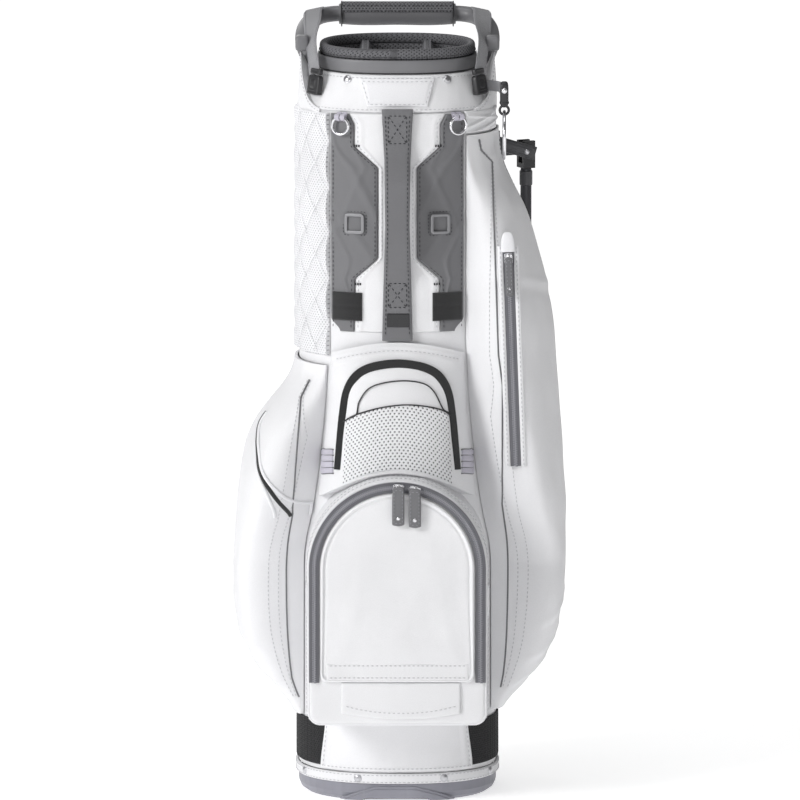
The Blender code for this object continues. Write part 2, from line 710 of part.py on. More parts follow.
def side_pocket_point(side, reach, end_turn, across, up, raised):
    """A point of a side pocket: across runs from its front seam to its back one."""
    low, high = reach[0][0], reach[-1][0]
    z = lerp(low, high, up)
    share = 0.5 - 0.5 * math.cos(math.pi * across)
    turn = lerp(turn_at(side_pocket_start(z), z), end_turn, share)
    out = SKIN_GAP
    if raised:
        depth = table(reach, z)[0] - table(BODY, z)[0] - SKIN_GAP
        out += 0.0025 + max(0.0, depth - 0.0025) * (1 - abs(2 * share - 1) ** 5) ** 0.4
    point = body_point(turn, z, out)
    return Vector((side * point.x, point.y, z))


def make_side_pockets():
    """The garment pockets bulging from both sides of the tube."""
    pockets = (("left_pocket", -1, LEFT_REACH, 108.0), ("right_pocket", 1, RIGHT_REACH, 95.0))
    for name, side, reach, end in pockets:
        def surface(across, up, raised, side=side, reach=reach, end=math.radians(end)):
            across = across if side > 0 else 1 - across
            return side_pocket_point(side, reach, end, across, up, raised)
        block(name, lambda across, up, surface=surface: surface(across, up, False),
              lambda across, up, surface=surface: surface(across, up, True), 12, 22, "white_leather")


def side_zip_place(angle, out):
    """A matrix on the side zip's arc: local X across it, local Y up it and local Z out of it."""
    lean_up = Vector((SIDE_ZIP_LEAN, 0.0, 1.0)).normalized()
    outward = lean_up * math.sin(angle) - Vector((0.0, 1.0, 0.0)) * math.cos(angle)
    up = lean_up * math.cos(angle) + Vector((0.0, 1.0, 0.0)) * math.sin(angle)
    matrix = Matrix((up.cross(outward), up, outward)).transposed().to_4x4()
    matrix.translation = SIDE_ZIP_CENTRE + outward * (SIDE_ZIP_RADIUS + out)
    return matrix


def make_side_hardware():
    """The arched side zip with its slider and pull, and the hook with its steel towel ring."""
    tape = 0.0024

    def zip_face(out):
        def surface(across, up):
            angle = math.radians(lerp(SIDE_ZIP_ANGLES[1], SIDE_ZIP_ANGLES[0], up))
            return side_zip_place(angle, out) @ Vector(((across - 0.5) * ZIP_WIDTH, 0.0, 0.0))
        return surface
    block("side_zipper", zip_face(0.0), zip_face(tape), 2, 12, "zip_coil")
    start = math.radians(SIDE_ZIP_ANGLES[0] - 1.2)
    thick = 0.0060
    arc_axis = hinge_at("side_slider_axis", SIDE_ZIP_CENTRE)
    slider_place = side_zip_place(start, tape + FIT_GAP + thick / 2)
    hang(box("side_slider", (0.0100, 0.0130, thick), slider_place, "steel", 0.0012), arc_axis)
    pull_place = side_zip_place(start, tape + 2 * FIT_GAP + thick + 0.0015)
    pull_axis = hinge_at("side_pull_axis", pull_place.translation, arc_axis)
    pull = plate("side_pull", [rectangle(0.0090, PULL_LENGTH)], 0.0030,
                 pull_place @ Matrix.Translation((0.0, -0.0215, 0.0)), "gray_leather", 0.0010)
    hang(pull, pull_axis)
    hook_place = Matrix.Translation((HOOK_X, HOOK_Y, 0.8190))
    box("hook_clip", (0.0100, 0.0140, 0.0300), hook_place, "dark_plastic", 0.0020)
    ring_top = Vector((HOOK_X, HOOK_Y, 0.7990))
    axis = hinge_at("towel_ring_axis", ring_top)
    bpy.ops.mesh.primitive_torus_add(major_radius=TOWEL_RING, minor_radius=0.0019,
                                     major_segments=32, minor_segments=8)
    ring_centre = ring_top - Vector((0.0, 0.0, TOWEL_RING))
    place = Matrix.Translation(ring_centre) @ Matrix.Rotation(math.pi / 2, 4, "Y")
    hang(take_primitive("towel_ring", place, "steel"), axis)


def make_stand():
    """The bracket on the tube, two legs with clevises and rubber feet, the rod and the foot lever."""
    mirror = Matrix(((0, 1, 0), (1, 0, 0), (0, 0, 1))).to_4x4()
    arms = []
    for name, side in (("front", -1), ("rear", 1)):
        pivot = LEG_PIVOT if side < 0 else mirror @ LEG_PIVOT
        direction = STAND_ANGLE + side * LEG_SPREAD
        outward = Vector((math.cos(direction), math.sin(direction), 0.0))
        along = Vector((outward.y, -outward.x, 0.0))
        frame = Matrix((along, outward, (0.0, 0.0, 1.0))).transposed().to_4x4()
        tip = Matrix.Translation(pivot)
        reach = distance_to_body(pivot, outward, 0.0045)
        tip_length = 0.0060
        arms.append(box(f"bracket_arm_{name}", (0.0080, reach + tip_length, 0.0140),
                        tip @ frame @ Matrix.Translation((0.0, (tip_length - reach) / 2, 0.0030)), None))
        arms.append(rod(f"bracket_pin_{name}", 0.0024, 0.0200,
                        tip @ frame @ Matrix.Rotation(math.pi / 2, 4, "Y"), None, 12))
        axis = hinge_at(f"leg_{name}_axis", pivot)
        clevis = box(f"leg_clevis_{name}", (0.0180, 0.0150, 0.0320),
                     tip @ frame @ Matrix.Translation((0.0, 0.0, -0.0040)), "dark_plastic")
        slot = box(f"clevis_slot_{name}", (0.0092, 0.0300, 0.0300),
                   tip @ frame @ Matrix.Translation((0.0, 0.0, 0.0010)), None)
        bore = rod(f"clevis_bore_{name}", 0.0028, 0.0400,
                   tip @ frame @ Matrix.Rotation(math.pi / 2, 4, "Y"), None, 12)
        boolean(boolean(clevis, slot, "DIFFERENCE"), bore, "DIFFERENCE")
        leg_top = pivot.z - 0.0205
        leg_low = LEG_FOOT_Z + 0.0240
        leg = rod(f"leg_{name}", LEG_RADIUS, leg_top - leg_low,
                  Matrix.Translation((pivot.x, pivot.y, (leg_top + leg_low) / 2)), "stand_metal")
        foot = rod(f"leg_foot_{name}", 0.0085, 0.0235,
                   Matrix.Translation((pivot.x, pivot.y, LEG_FOOT_Z + 0.01175)), "rubber", 16, 0.0080)
        for piece in (clevis, leg, foot):
            hang(piece, axis)

    def yoke_plate(raised):
        def surface(across, up):
            turn = math.radians(lerp(102.0, 168.0, across))
            return body_point(turn, lerp(0.7300, 0.7560, up), 0.0090 if raised else SKIN_GAP)
        return surface
    bracket = block("stand_bracket", yoke_plate(False), yoke_plate(True), 12, 1, "stand_metal")
    for arm in arms:
        boolean(bracket, arm, "UNION")
    rod_low, rod_high = 0.0075, 0.7150
    slide = stand_frame(0.1275, (rod_low + rod_high) / 2)
    rod("actuator_rod", 0.0020, rod_high - rod_low, slide, "steel", 12)
    lever_axis = hinge_at("foot_lever_axis", stand_frame(0.0800, 0.0030).translation)
    lever = box("foot_lever", (0.0500, 0.0540, 0.0056), stand_frame(0.1060, 0.0033), "dark_plastic", 0.0010)
    hang(lever, lever_axis)


def make_back():
    """The hip pad and the two shoulder straps at the left rear."""
    def pad(raised, turns, heights, depth):
        def surface(across, up):
            out = 0.0035
            if raised:
                wide = 1 - abs(2 * across - 1) ** 4
                tall = 1 - abs(2 * up - 1) ** 6
                out += 0.0030 + (depth - 0.0030) * max(0.0, wide * tall) ** 0.5
            return body_point(math.radians(lerp(*turns, across)), lerp(*heights, up), out)
        return surface
    for name, turns, heights, depth, finish in (
            ("hip_pad", (190.0, 240.0), (0.2500, 0.4700), 0.0180, "black_mesh"),
            ("shoulder_strap_left", (218.0, 240.0), (0.4900, 0.7950), 0.0140, "gray_leather"),
            ("shoulder_strap_right", (186.0, 208.0), (0.4900, 0.7950), 0.0140, "gray_leather")):
        block(name, pad(False, turns, heights, depth), pad(True, turns, heights, depth), 8, 8, finish)


clear_scene()
parts = new_collection("golf_stand_bag")
cutters = new_collection("cutters")
cutters.hide_render = True
make_foot_and_tube()
make_cuff()
make_lift_handle()
make_front_panels()
make_front_hardware()
make_accessory_pocket()
make_ball_pocket()
make_side_pockets()
make_side_hardware()
make_stand()
make_back()
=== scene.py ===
"""The looks of a golf stand bag: its leather panels, pockets, straps, zips, metalwork and legs.

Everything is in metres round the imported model, +Z up, the front of the bag towards -Y. Each
sub-assembly is a class that holds its sizes and makes its pieces; each finish is a small class
that makes one material.
"""

import logging
import math
from collections.abc import Callable, Sequence
from dataclasses import dataclass
from enum import Enum
from typing import Any

import bmesh
import bpy
import numpy as np
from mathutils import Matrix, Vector
from mathutils.kdtree import KDTree
from numpy.typing import NDArray


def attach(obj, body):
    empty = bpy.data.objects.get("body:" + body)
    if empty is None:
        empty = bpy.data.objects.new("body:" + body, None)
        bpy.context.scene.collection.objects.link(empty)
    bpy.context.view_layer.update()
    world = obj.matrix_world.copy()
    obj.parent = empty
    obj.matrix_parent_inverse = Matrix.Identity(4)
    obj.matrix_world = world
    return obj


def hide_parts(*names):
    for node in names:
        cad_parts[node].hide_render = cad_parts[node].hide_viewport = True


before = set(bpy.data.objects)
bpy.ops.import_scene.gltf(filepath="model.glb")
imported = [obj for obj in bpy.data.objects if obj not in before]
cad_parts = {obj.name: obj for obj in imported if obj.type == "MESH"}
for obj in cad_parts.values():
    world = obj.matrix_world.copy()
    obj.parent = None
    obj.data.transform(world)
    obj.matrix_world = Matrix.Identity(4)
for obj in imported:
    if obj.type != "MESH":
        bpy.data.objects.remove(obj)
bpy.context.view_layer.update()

Array = NDArray[np.float64]
Surface = Callable[[Array, Array], Array]
Rows = tuple[tuple[float, float], ...]

logging.basicConfig(level=logging.INFO, format="%(name)s: %(message)s")
log = logging.getLogger("stand_bag")

ROOT = "bag"
SIDES = ((-1, "left"), (1, "right"))
FRONT = np.array([0.0, -1.0, 0.0])
UP = np.array([0.0, 0.0, 1.0])
MERGE = 1e-6
SHARP = 50.0


# --------------------------------------------------------------------------- shader maths


class Link:
    """A node's output socket that takes part in Python expressions."""

    def __init__(self, recipe: "Recipe", socket: Any) -> None:
        """Wraps a socket of the recipe's tree."""
        self.recipe = recipe
        self.socket = socket

    def _math(self, operation: str, *values: Any) -> "Link":
        """Adds a Math node.

        Args:
            operation: The node's operation.
            values: Its inputs, as numbers or links.

        Returns:
            The node's value.
        """
        return self.recipe.node("ShaderNodeMath", {"operation": operation}, dict(enumerate(values)))

    def __add__(self, other: Any) -> "Link":
        """Self plus other."""
        return self._math("ADD", self, other)

    def __radd__(self, other: Any) -> "Link":
        """Other plus self."""
        return self._math("ADD", other, self)

    def __sub__(self, other: Any) -> "Link":
        """Self minus other."""
        return self._math("SUBTRACT", self, other)

    def __rsub__(self, other: Any) -> "Link":
        """Other minus self."""
        return self._math("SUBTRACT", other, self)

    def __mul__(self, other: Any) -> "Link":
        """Self times other."""
        return self._math("MULTIPLY", self, other)

    def __rmul__(self, other: Any) -> "Link":
        """Other times self."""
        return self._math("MULTIPLY", other, self)

    def __truediv__(self, other: Any) -> "Link":
        """Self over other."""
        return self._math("DIVIDE", self, other)

    def __pow__(self, other: Any) -> "Link":
        """Self to a power."""
        return self._math("POWER", self, other)

    def fraction(self) -> "Link":
        """The part after the point."""
        return self._math("FRACT", self)

    def floor(self) -> "Link":
        """The whole number below."""
        return self._math("FLOOR", self)

    def modulo(self, other: float) -> "Link":
        """The remainder of a division."""
        return self._math("MODULO", self, other)

    def sine(self) -> "Link":
        """The sine of an angle in radians."""
        return self._math("SINE", self)

    def root(self) -> "Link":
        """The square root."""
        return self._math("SQRT", self)

    def size(self) -> "Link":
        """The value without its sign."""
        return self._math("ABSOLUTE", self)

    def step(self, low: float, high: float) -> "Link":
        """A smooth rise from 0 at low to 1 at high."""
        settings = {"interpolation_type": "SMOOTHSTEP"}
        return self.recipe.node("ShaderNodeMapRange", settings, {"Value": self, "From Min": low, "From Max": high})


class Recipe:
    """One material and the nodes that make it."""

    def __init__(self, name: str) -> None:
        """Starts a material with a Principled shader."""
        self.material = bpy.data.materials.new(name)
        self.material.use_nodes = True
        self.tree = self.material.node_tree
        self.shader = self.tree.nodes["Principled BSDF"]

    def node(self, kind: str, settings: dict[str, Any], inputs: dict[Any, Any], out: Any = 0) -> Link:
        """Adds a node.

        Args:
            kind: Its type.
            settings: Properties that are set before its sockets.
            inputs: Values or links by socket name or number.
            out: The output that is wanted.

        Returns:
            That output.
        """
        made = self.tree.nodes.new(kind)
        for key, value in settings.items():
            setattr(made, key, value)
        for key, value in inputs.items():
            if isinstance(value, Link):
                self.tree.links.new(value.socket, made.inputs[key])
            else:
                made.inputs[key].default_value = value
        return Link(self, made.outputs[out])

    def place(self) -> Link:
        """The point in the object's own metres."""
        return self.node("ShaderNodeTexCoord", {}, {}, "Object")

    def cloth(self) -> tuple[Link, Link]:
        """The surface's own lengths across and along, in metres, from its UV map."""
        uv = self.node("ShaderNodeTexCoord", {}, {}, "UV")
        return self.axis(uv, 0), self.axis(uv, 1)

    def axis(self, vector: Link, number: int) -> Link:
        """One component of a vector."""
        return self.node("ShaderNodeSeparateXYZ", {}, {0: vector}, number)

    def noise(self, scale: float, detail: float = 3.0, stretch: Sequence[float] | None = None) -> Link:
        """A noise from 0 to 1 in object metres, stretched along the axes if asked."""
        point = self.place()
        if stretch:
            point = self.node("ShaderNodeVectorMath", {"operation": "MULTIPLY"}, {0: point, 1: tuple(stretch)})
        return self.node("ShaderNodeTexNoise", {}, {"Vector": point, "Scale": scale, "Detail": detail})

    def cells(self, scale: float, feature: str = "F1") -> Link:
        """The distance to the nearest random point, or to the edge between two."""
        return self.node("ShaderNodeTexVoronoi", {"feature": feature}, {"Vector": self.place(), "Scale": scale})

    def blend(self, share: Any, low: Any, high: Any) -> Link:
        """A colour between low and high."""
        return self.node("ShaderNodeMix", {"data_type": "RGBA"}, {0: share, 6: low, 7: high}, 2)

    def bump(self, height: Link, distance: float, strength: float = 1.0, under: Link | None = None) -> Link:
        """A normal from a height in metres times distance."""
        inputs: dict[Any, Any] = {"Height": height, "Distance": distance, "Strength": strength}
        if under:
            inputs["Normal"] = under
        return self.node("ShaderNodeBump", {}, inputs)

    def finish(self, **sockets: Any) -> Any:
        """Fills the shader's sockets, named with underscores, and returns the material."""
        for key, value in sockets.items():
            socket = self.shader.inputs[key.replace("_", " ")]
            if isinstance(value, Link):
                self.tree.links.new(value.socket, socket)
            else:
                socket.default_value = value
        return self.material


Colour = tuple[float, float, float]


def shade(colour: Colour, factor: float) -> tuple[float, float, float, float]:
    """A colour with its brightness multiplied, and an alpha of 1."""
    return (colour[0] * factor, colour[1] * factor, colour[2] * factor, 1.0)


@dataclass(frozen=True)
class Leather:
    """Pebbled synthetic leather: fine cells with painted shade in the valleys between them, soft creases and a
    light soiling.
    """

    name: str
    colour: Colour
    roughness: float = 0.46
    pebbles: float = 1150.0
    depth: float = 0.00022

    def material(self) -> Any:
        """Makes the leather's material."""
        recipe = Recipe(self.name)
        broad = recipe.noise(7.0, 4.0)
        fine = recipe.noise(240.0, 2.0)
        grain = recipe.cells(self.pebbles, "DISTANCE_TO_EDGE").step(0.0, 0.28)
        crease = recipe.noise(46.0, 5.0, (1.0, 1.0, 0.45))
        soil = broad.step(0.35, 0.75)
        colour = recipe.blend(soil, shade(self.colour, 1.03), shade(self.colour, 0.955))
        # Painted shade: the valleys between the pebbles are darkened, where shade would fall.
        colour = recipe.blend((1 - grain) * 0.3, colour, shade(self.colour, 0.8))
        rough = self.roughness + (fine - 0.5) * 0.16 + (1 - grain) * 0.1
        normal = recipe.bump(grain + fine * 0.35, self.depth, 0.55)
        normal = recipe.bump(crease, 0.0011, 0.35, normal)
        return recipe.finish(Base_Color=colour, Roughness=rough, Normal=normal, Specular_IOR_Level=0.42)


@dataclass(frozen=True)
class Perforated:
    """Leather or padded cloth with rows of small punched holes, staggered from row to row; the holes and the
    grain's valleys are painted dark as shade.
    """

    name: str
    colour: Colour
    pitch: float = 0.0046
    row: float = 0.0034
    hole: float = 0.00082
    # The holes' colour is painted shade for the depth of each hole.
    hole_shade_colour: Colour = (0.02, 0.02, 0.02)
    roughness: float = 0.5

    def material(self) -> Any:
        """Makes the perforated material: a hole is where the distance to a lattice point is small."""
        recipe = Recipe(self.name)
        across, along = recipe.cloth()
        rows = along / self.row
        shift = rows.floor().modulo(2.0).size() * 0.5
        column = ((across / self.pitch + shift).fraction() - 0.5) * self.pitch
        line = (rows.fraction() - 0.5) * self.row
        away = (column * column + line * line).root()
        hole = 1 - away.step(self.hole * 0.8, self.hole * 1.25)
        rim = 1 - away.step(self.hole, self.hole * 2.0)
        grain = recipe.cells(1200.0, "DISTANCE_TO_EDGE").step(0.0, 0.3)
        soil = recipe.noise(8.0, 4.0).step(0.35, 0.75)
        colour = recipe.blend(soil, shade(self.colour, 1.03), shade(self.colour, 0.94))
        # Painted shade in the valleys of the grain.
        colour = recipe.blend((1 - grain) * 0.22, colour, shade(self.colour, 0.82))
        # Painted shade: the holes take the dark hole colour.
        colour = recipe.blend(hole, colour, (*self.hole_shade_colour, 1.0))
        normal = recipe.bump(1 - rim, 0.0006, 0.8)
        normal = recipe.bump(grain, 0.0002, 0.5, normal)
        rough = self.roughness + (1 - grain) * 0.12 + hole * 0.3
        return recipe.finish(Base_Color=colour, Roughness=rough, Normal=normal)


@dataclass(frozen=True)
class Webbing:
    """Woven strap: ribs along it, crossed by the weft, with a brushed fuzz; the raised threads are painted lighter
    and the hollows darker, as painted light and shade.
    """

    name: str
    colour: Colour
    rib: float = 0.0016
    weft: float = 0.0011

    def material(self) -> Any:
        """Makes the woven material: warp and weft are two crossed sines, one row out of step."""
        recipe = Recipe(self.name)
        across, along = recipe.cloth()
        warp = across * (math.tau / self.rib)
        step = (across / self.rib).floor().modulo(2.0).size() * math.pi
        thread = (along * (math.tau / self.weft) + step).sine() * 0.5 + 0.5
        ridge = warp.sine().size()
        height = ridge * 0.5 + thread * 0.5
        fuzz = recipe.noise(900.0, 2.0)
        # Painted light and shade: the colour follows the weave's height, lighter on the raised threads and darker
        # in the hollows; the fuzz adds a random tone.
        colour = recipe.blend(height * 0.75 + fuzz * 0.25, shade(self.colour, 0.62), shade(self.colour, 1.22))
        normal = recipe.bump(height, 0.00045, 0.9)
        return recipe.finish(Base_Color=colour, Roughness=0.72 + fuzz * 0.2, Normal=normal,
                             Sheen_Weight=0.25, Sheen_Roughness=0.5)


@dataclass(frozen=True)
class SpacerMesh:
    """Open knitted mesh: round cells between threads."""

    name: str
    colour: Colour
    cell: float = 0.003

    def material(self) -> Any:
        """Makes the mesh: holes on a staggered lattice, threads raised between them."""
        recipe = Recipe(self.name)
        across, along = recipe.cloth()
        rows = along / (self.cell * 0.86)
        shift = rows.floor().modulo(2.0).size() * 0.5
        column = (across / self.cell + shift).fraction() - 0.5
        line = rows.fraction() - 0.5
        away = (column * column + line * line).root()
        thread = away.step(0.24, 0.42)
        knit = recipe.noise(1500.0, 2.0)
        # Painted shade and light: the holes are painted darker and the raised threads lighter, following the
        # relief; the knit adds random lighter specks.
        colour = recipe.blend(thread, shade(self.colour, 0.25), shade(self.colour, 1.6))
        colour = recipe.blend(knit.step(0.4, 0.8) * 0.5, colour, shade(self.colour, 2.4))
        normal = recipe.bump(thread + knit * 0.2, 0.0008, 0.9)
        return recipe.finish(Base_Color=colour, Roughness=0.85, Normal=normal, Sheen_Weight=0.05)


@dataclass(frozen=True)
class Lining:
    """Plain woven nylon with slight slubs."""

    name: str
    colour: Colour

    def material(self) -> Any:
        """Makes the woven material from two crossed sines in the cloth's own lengths."""
        recipe = Recipe(self.name)
        across, along = recipe.cloth()
        weave = (across * 5200.0).sine() * (along * 5200.0).sine() * 0.5 + 0.5
        slub = recipe.noise(60.0, 4.0, (1.0, 1.0, 0.2))
        # Painted light and shade: the colour follows the weave's relief, lighter where the threads rise and darker
        # between them; the slubs add a random tone.
        colour = recipe.blend(weave * 0.6 + slub * 0.4, shade(self.colour, 0.7), shade(self.colour, 1.3))
        normal = recipe.bump(weave + slub, 0.0003, 0.7)
        return recipe.finish(Base_Color=colour, Roughness=0.8, Normal=normal, Sheen_Weight=0.2)


@dataclass(frozen=True)
class Moulded:
    """Moulded plastic or rubber: a fine spark-eroded grain, flow marks and rubbed patches."""

    name: str
    colour: Colour
    roughness: float = 0.45
    grain: float = 2200.0
    depth: float = 0.0001

    def material(self) -> Any:
        """Makes the moulded material."""
        recipe = Recipe(self.name)
        speck = recipe.noise(self.grain, 2.0)
        flow = recipe.noise(18.0, 4.0)
        rubbed = recipe.noise(70.0, 6.0, (1.0, 1.0, 0.3)).step(0.6, 0.74)
        colour = recipe.blend(flow.step(0.3, 0.7), shade(self.colour, 0.95), shade(self.colour, 1.06))
        colour = recipe.blend(rubbed * 0.35, colour, shade(self.colour, 1.25))
        rough = self.roughness + (speck - 0.5) * 0.18 + rubbed * 0.1
        return recipe.finish(Base_Color=colour, Roughness=rough, Normal=recipe.bump(speck, self.depth, 0.7))


@dataclass(frozen=True)
class Metal:
    """Plated, brushed or coated metal with fine scratches and dull handled patches."""

    name: str
    colour: Colour
    metallic: float = 1.0
    roughness: float = 0.22
    brushed: tuple[float, float, float] = (1.0, 1.0, 12.0)

    def material(self) -> Any:
        """Makes the metal's material."""
        recipe = Recipe(self.name)
        brush = recipe.noise(320.0, 3.0, self.brushed)
        patch = recipe.noise(60.0, 4.0)
        scratch = recipe.noise(140.0, 6.0, (6.0, 1.0, 1.0)).step(0.66, 0.7)
        colour = recipe.blend(patch, shade(self.colour, 0.9), shade(self.colour, 1.06))
        rough = self.roughness + (brush - 0.5) * 0.16 + patch.step(0.5, 0.8) * 0.14 + scratch * 0.15
        return recipe.finish(Base_Color=colour, Metallic=self.metallic, Roughness=rough,
                             Normal=recipe.bump(brush + scratch, 0.00004, 0.5))


@dataclass(frozen=True)
class Thread:
    """Twisted sewing thread."""

    name: str
    colour: Colour

    def material(self) -> Any:
        """Makes the thread's material."""
        recipe = Recipe(self.name)
        twist = recipe.noise(2600.0, 2.0)
        colour = recipe.blend(twist, shade(self.colour, 0.75), shade(self.colour, 1.15))
        return recipe.finish(Base_Color=colour, Roughness=0.6, Normal=recipe.bump(twist, 0.0002, 0.6))


class Finish(Enum):
    """The bag's finishes, each made once."""

    WHITE = Leather("white_leather_finish", (0.8, 0.8, 0.815))
    WHITE_SOFT = Leather("soft_white_finish", (0.78, 0.78, 0.8), 0.5, 900.0, 0.00018)
    GRAY = Leather("gray_leather_finish", (0.16, 0.16, 0.168), 0.44, 1300.0, 0.00016)
    STRAP_GRAY = Leather("strap_leather_finish", (0.155, 0.155, 0.163), 0.5, 1300.0, 0.00016)
    WINDOW = Perforated("perforated_white_finish", (0.8, 0.8, 0.815), 0.005, 0.0035, 0.00085, (0.06, 0.06, 0.065))
    QUILT = Perforated("quilted_white_finish", (0.79, 0.79, 0.81), 0.0036, 0.0027, 0.00055, (0.34, 0.34, 0.36))
    PAD = Perforated("perforated_gray_finish", (0.125, 0.125, 0.135), 0.004, 0.003, 0.0008, (0.02, 0.02, 0.02))
    BLACK_WEB = Webbing("black_webbing_finish", (0.012, 0.012, 0.013))
    GRAY_WEB = Webbing("gray_webbing_finish", (0.27, 0.27, 0.285))
    LILAC_WEB = Webbing("lilac_webbing_finish", (0.56, 0.54, 0.62), 0.0019, 0.0013)
    ZIP_TAPE = Webbing("zip_tape_finish", (0.17, 0.17, 0.19), 0.001, 0.001)
    MESH = SpacerMesh("spacer_mesh_finish", (0.008, 0.008, 0.009))
    LINING = Lining("lining_finish", (0.075, 0.075, 0.085))
    COLLAR = Moulded("collar_plastic_finish", (0.155, 0.155, 0.163), 0.42)
    FOOT = Moulded("foot_plastic_finish", (0.235, 0.235, 0.27), 0.46, 1500.0, 0.00016)
    BLACK_PLASTIC = Moulded("black_plastic_finish", (0.022, 0.022, 0.024), 0.4)
    DARK_PLASTIC = Moulded("dark_plastic_finish", (0.055, 0.055, 0.06), 0.42)
    RUBBER = Moulded("rubber_finish", (0.018, 0.018, 0.018), 0.75, 900.0, 0.00025)
    LABEL = Moulded("label_finish", (0.016, 0.016, 0.018), 0.3, 3000.0)
    COIL = Moulded("zip_coil_finish", (0.32, 0.32, 0.35), 0.38, 2600.0)
    STEEL = Metal("steel_finish", (0.72, 0.72, 0.74))
    DULL_STEEL = Metal("dull_steel_finish", (0.55, 0.55, 0.57), 1.0, 0.34)
    FRAME_STEEL = Metal("frame_steel_finish", (0.27, 0.27, 0.28), 1.0, 0.42)
    STAND = Metal("stand_coat_finish", (0.06, 0.06, 0.066), 0.45, 0.38)
    # The white thread is painted mid gray: painted shade along the stitch lines.
    SHADED_WHITE_THREAD = Thread("shaded_white_thread_finish", (0.56, 0.56, 0.58))
    GRAY_THREAD = Thread("gray_thread_finish", (0.03, 0.03, 0.034))
    LIGHT_THREAD = Thread("light_thread_finish", (0.3, 0.3, 0.32))

    def made(self) -> Any:
        """The finish's material, made on its first use."""
        known = bpy.data.materials.get(self.value.name)
        return known or self.value.material()


SLOTS = {
    "GRAY": "gray_leather", "STRAP_GRAY": "gray_leather", "GRAY_THREAD": "gray_leather",
    "LIGHT_THREAD": "gray_leather", "QUILT": "white_quilted", "PAD": "gray_pad", "BLACK_WEB": "black_webbing",
    "GRAY_WEB": "gray_webbing", "LILAC_WEB": "gray_webbing", "ZIP_TAPE": "zip_coil", "COIL": "zip_coil",
    "MESH": "black_mesh", "LINING": "divider_cloth", "COLLAR": "gray_plastic", "FOOT": "base_plastic",
    "BLACK_PLASTIC": "dark_plastic", "DARK_PLASTIC": "dark_plastic", "LABEL": "dark_plastic", "RUBBER": "rubber",
    "STEEL": "steel", "DULL_STEEL": "steel", "FRAME_STEEL": "steel", "STAND": "stand_metal",
}

# --------------------------------------------------------------------------- shape tools


def unit(vectors: Array) -> Array:
    """Vectors scaled to length 1."""
    return vectors / np.maximum(np.linalg.norm(vectors, axis=-1, keepdims=True), 1e-12)


def xyz(x: Any, y: Any, z: Any) -> Array:
    """Points from their coordinates, spread to one shape."""
    return np.stack(np.broadcast_arrays(x, y, z), axis=-1)

def circle(count: int) -> Array:
    """Even angles once round, without the last."""
    return np.linspace(0, math.tau, count, endpoint=False)

def signed_power(value: Array, power: float) -> Array:
    """A power that keeps the value's sign."""
    return np.sign(value) * np.abs(value) ** power


def lerp(start: Any, end: Any, share: Any) -> Any:
    """The value a share of the way from start to end."""
    return start + (end - start) * share


def smooth(value: Any, low: float, high: float) -> Any:
    """A smooth rise from 0 at low to 1 at high."""
    share = np.clip((value - low) / (high - low), 0.0, 1.0)
    return share * share * (3 - 2 * share)


def bell(value: Any, centre: Any, width: Any) -> Any:
    """A bell curve of height 1 about a centre."""
    return np.exp(-(((value - centre) / width) ** 2))


def crinkle(a: Array, b: Array, seed: float) -> Array:
    """A soft irregular wave of about unit height: a sum of turned sines with unlike lengths."""
    total = np.zeros_like(a)
    for number in range(1, 6):
        angle = seed * 1.7 + number * 2.399
        along = a * math.cos(angle) + b * math.sin(angle)
        total += np.sin(along * (0.8 + 0.55 * number) + seed * number) / number ** 0.8
    return total / 2.2


def spaced(count: int, rim: float = 0.0, steps: int = 4) -> Array:
    """Shares from 0 to 1, with extra ones inside a rim at each end for a rounded edge.

    Args:
        count: How many even steps lie between the rims.
        rim: The rim's share of the whole.
        steps: How many steps each rim has.

    Returns:
        The shares in order.
    """
    if rim <= 0:
        return np.linspace(0.0, 1.0, count + 1)
    start = rim * (1 - np.cos(np.linspace(0, math.pi / 2, steps + 1)))
    middle = np.linspace(rim, 1 - rim, count + 1)[1:-1]
    return np.concatenate([start, middle, 1 - start[::-1]])


def grid_normals(points: Array) -> Array:
    """The normals of a grid of points, rows up and columns across: across times up."""
    across = np.gradient(points, axis=1)
    up = np.gradient(points, axis=0)
    return unit(np.cross(across, up))


def lengths(points: Array, axis: int) -> Array:
    """The distance run along each line of a grid, from its start."""
    steps = np.linalg.norm(np.diff(points, axis=axis), axis=-1)
    pad = [(0, 0), (0, 0)]
    pad[axis] = (1, 0)
    return np.pad(np.cumsum(steps, axis=axis), pad)


def quads(rows: int, columns: int, wrap_rows: bool = False, wrap_columns: bool = False) -> NDArray[np.int64]:
    """The faces of a grid of points numbered row by row, joined round where asked."""
    j, i = np.meshgrid(np.arange(rows if wrap_rows else rows - 1),
                       np.arange(columns if wrap_columns else columns - 1), indexing="ij")
    nj, ni = (j + 1) % rows, (i + 1) % columns
    faces = np.stack([j * columns + i, j * columns + ni, nj * columns + ni, nj * columns + i], axis=-1)
    return faces.reshape(-1, 4)


@dataclass
class Shape:
    """Points, faces and lengths across and along, before they become an object."""

    points: Array
    faces: list[NDArray[np.int64]]
    uv: Array

    @staticmethod
    def joined(shapes: Sequence["Shape"]) -> "Shape":
        """Several shapes as one."""
        faces: list[NDArray[np.int64]] = []
        start = 0
        for shape in shapes:
            faces += [block + start for block in shape.faces]
            start += len(shape.points)
        return Shape(np.concatenate([s.points for s in shapes]), faces, np.concatenate([s.uv for s in shapes]))

    def moved(self, matrix: Array) -> "Shape":
        """The shape under a 4 by 4 matrix."""
        return Shape(self.points @ matrix[:3, :3].T + matrix[:3, 3], self.faces, self.uv)

    def shifted(self, *offset: float) -> "Shape":
        """The shape moved by an offset."""
        return Shape(self.points + np.array(offset), self.faces, self.uv)


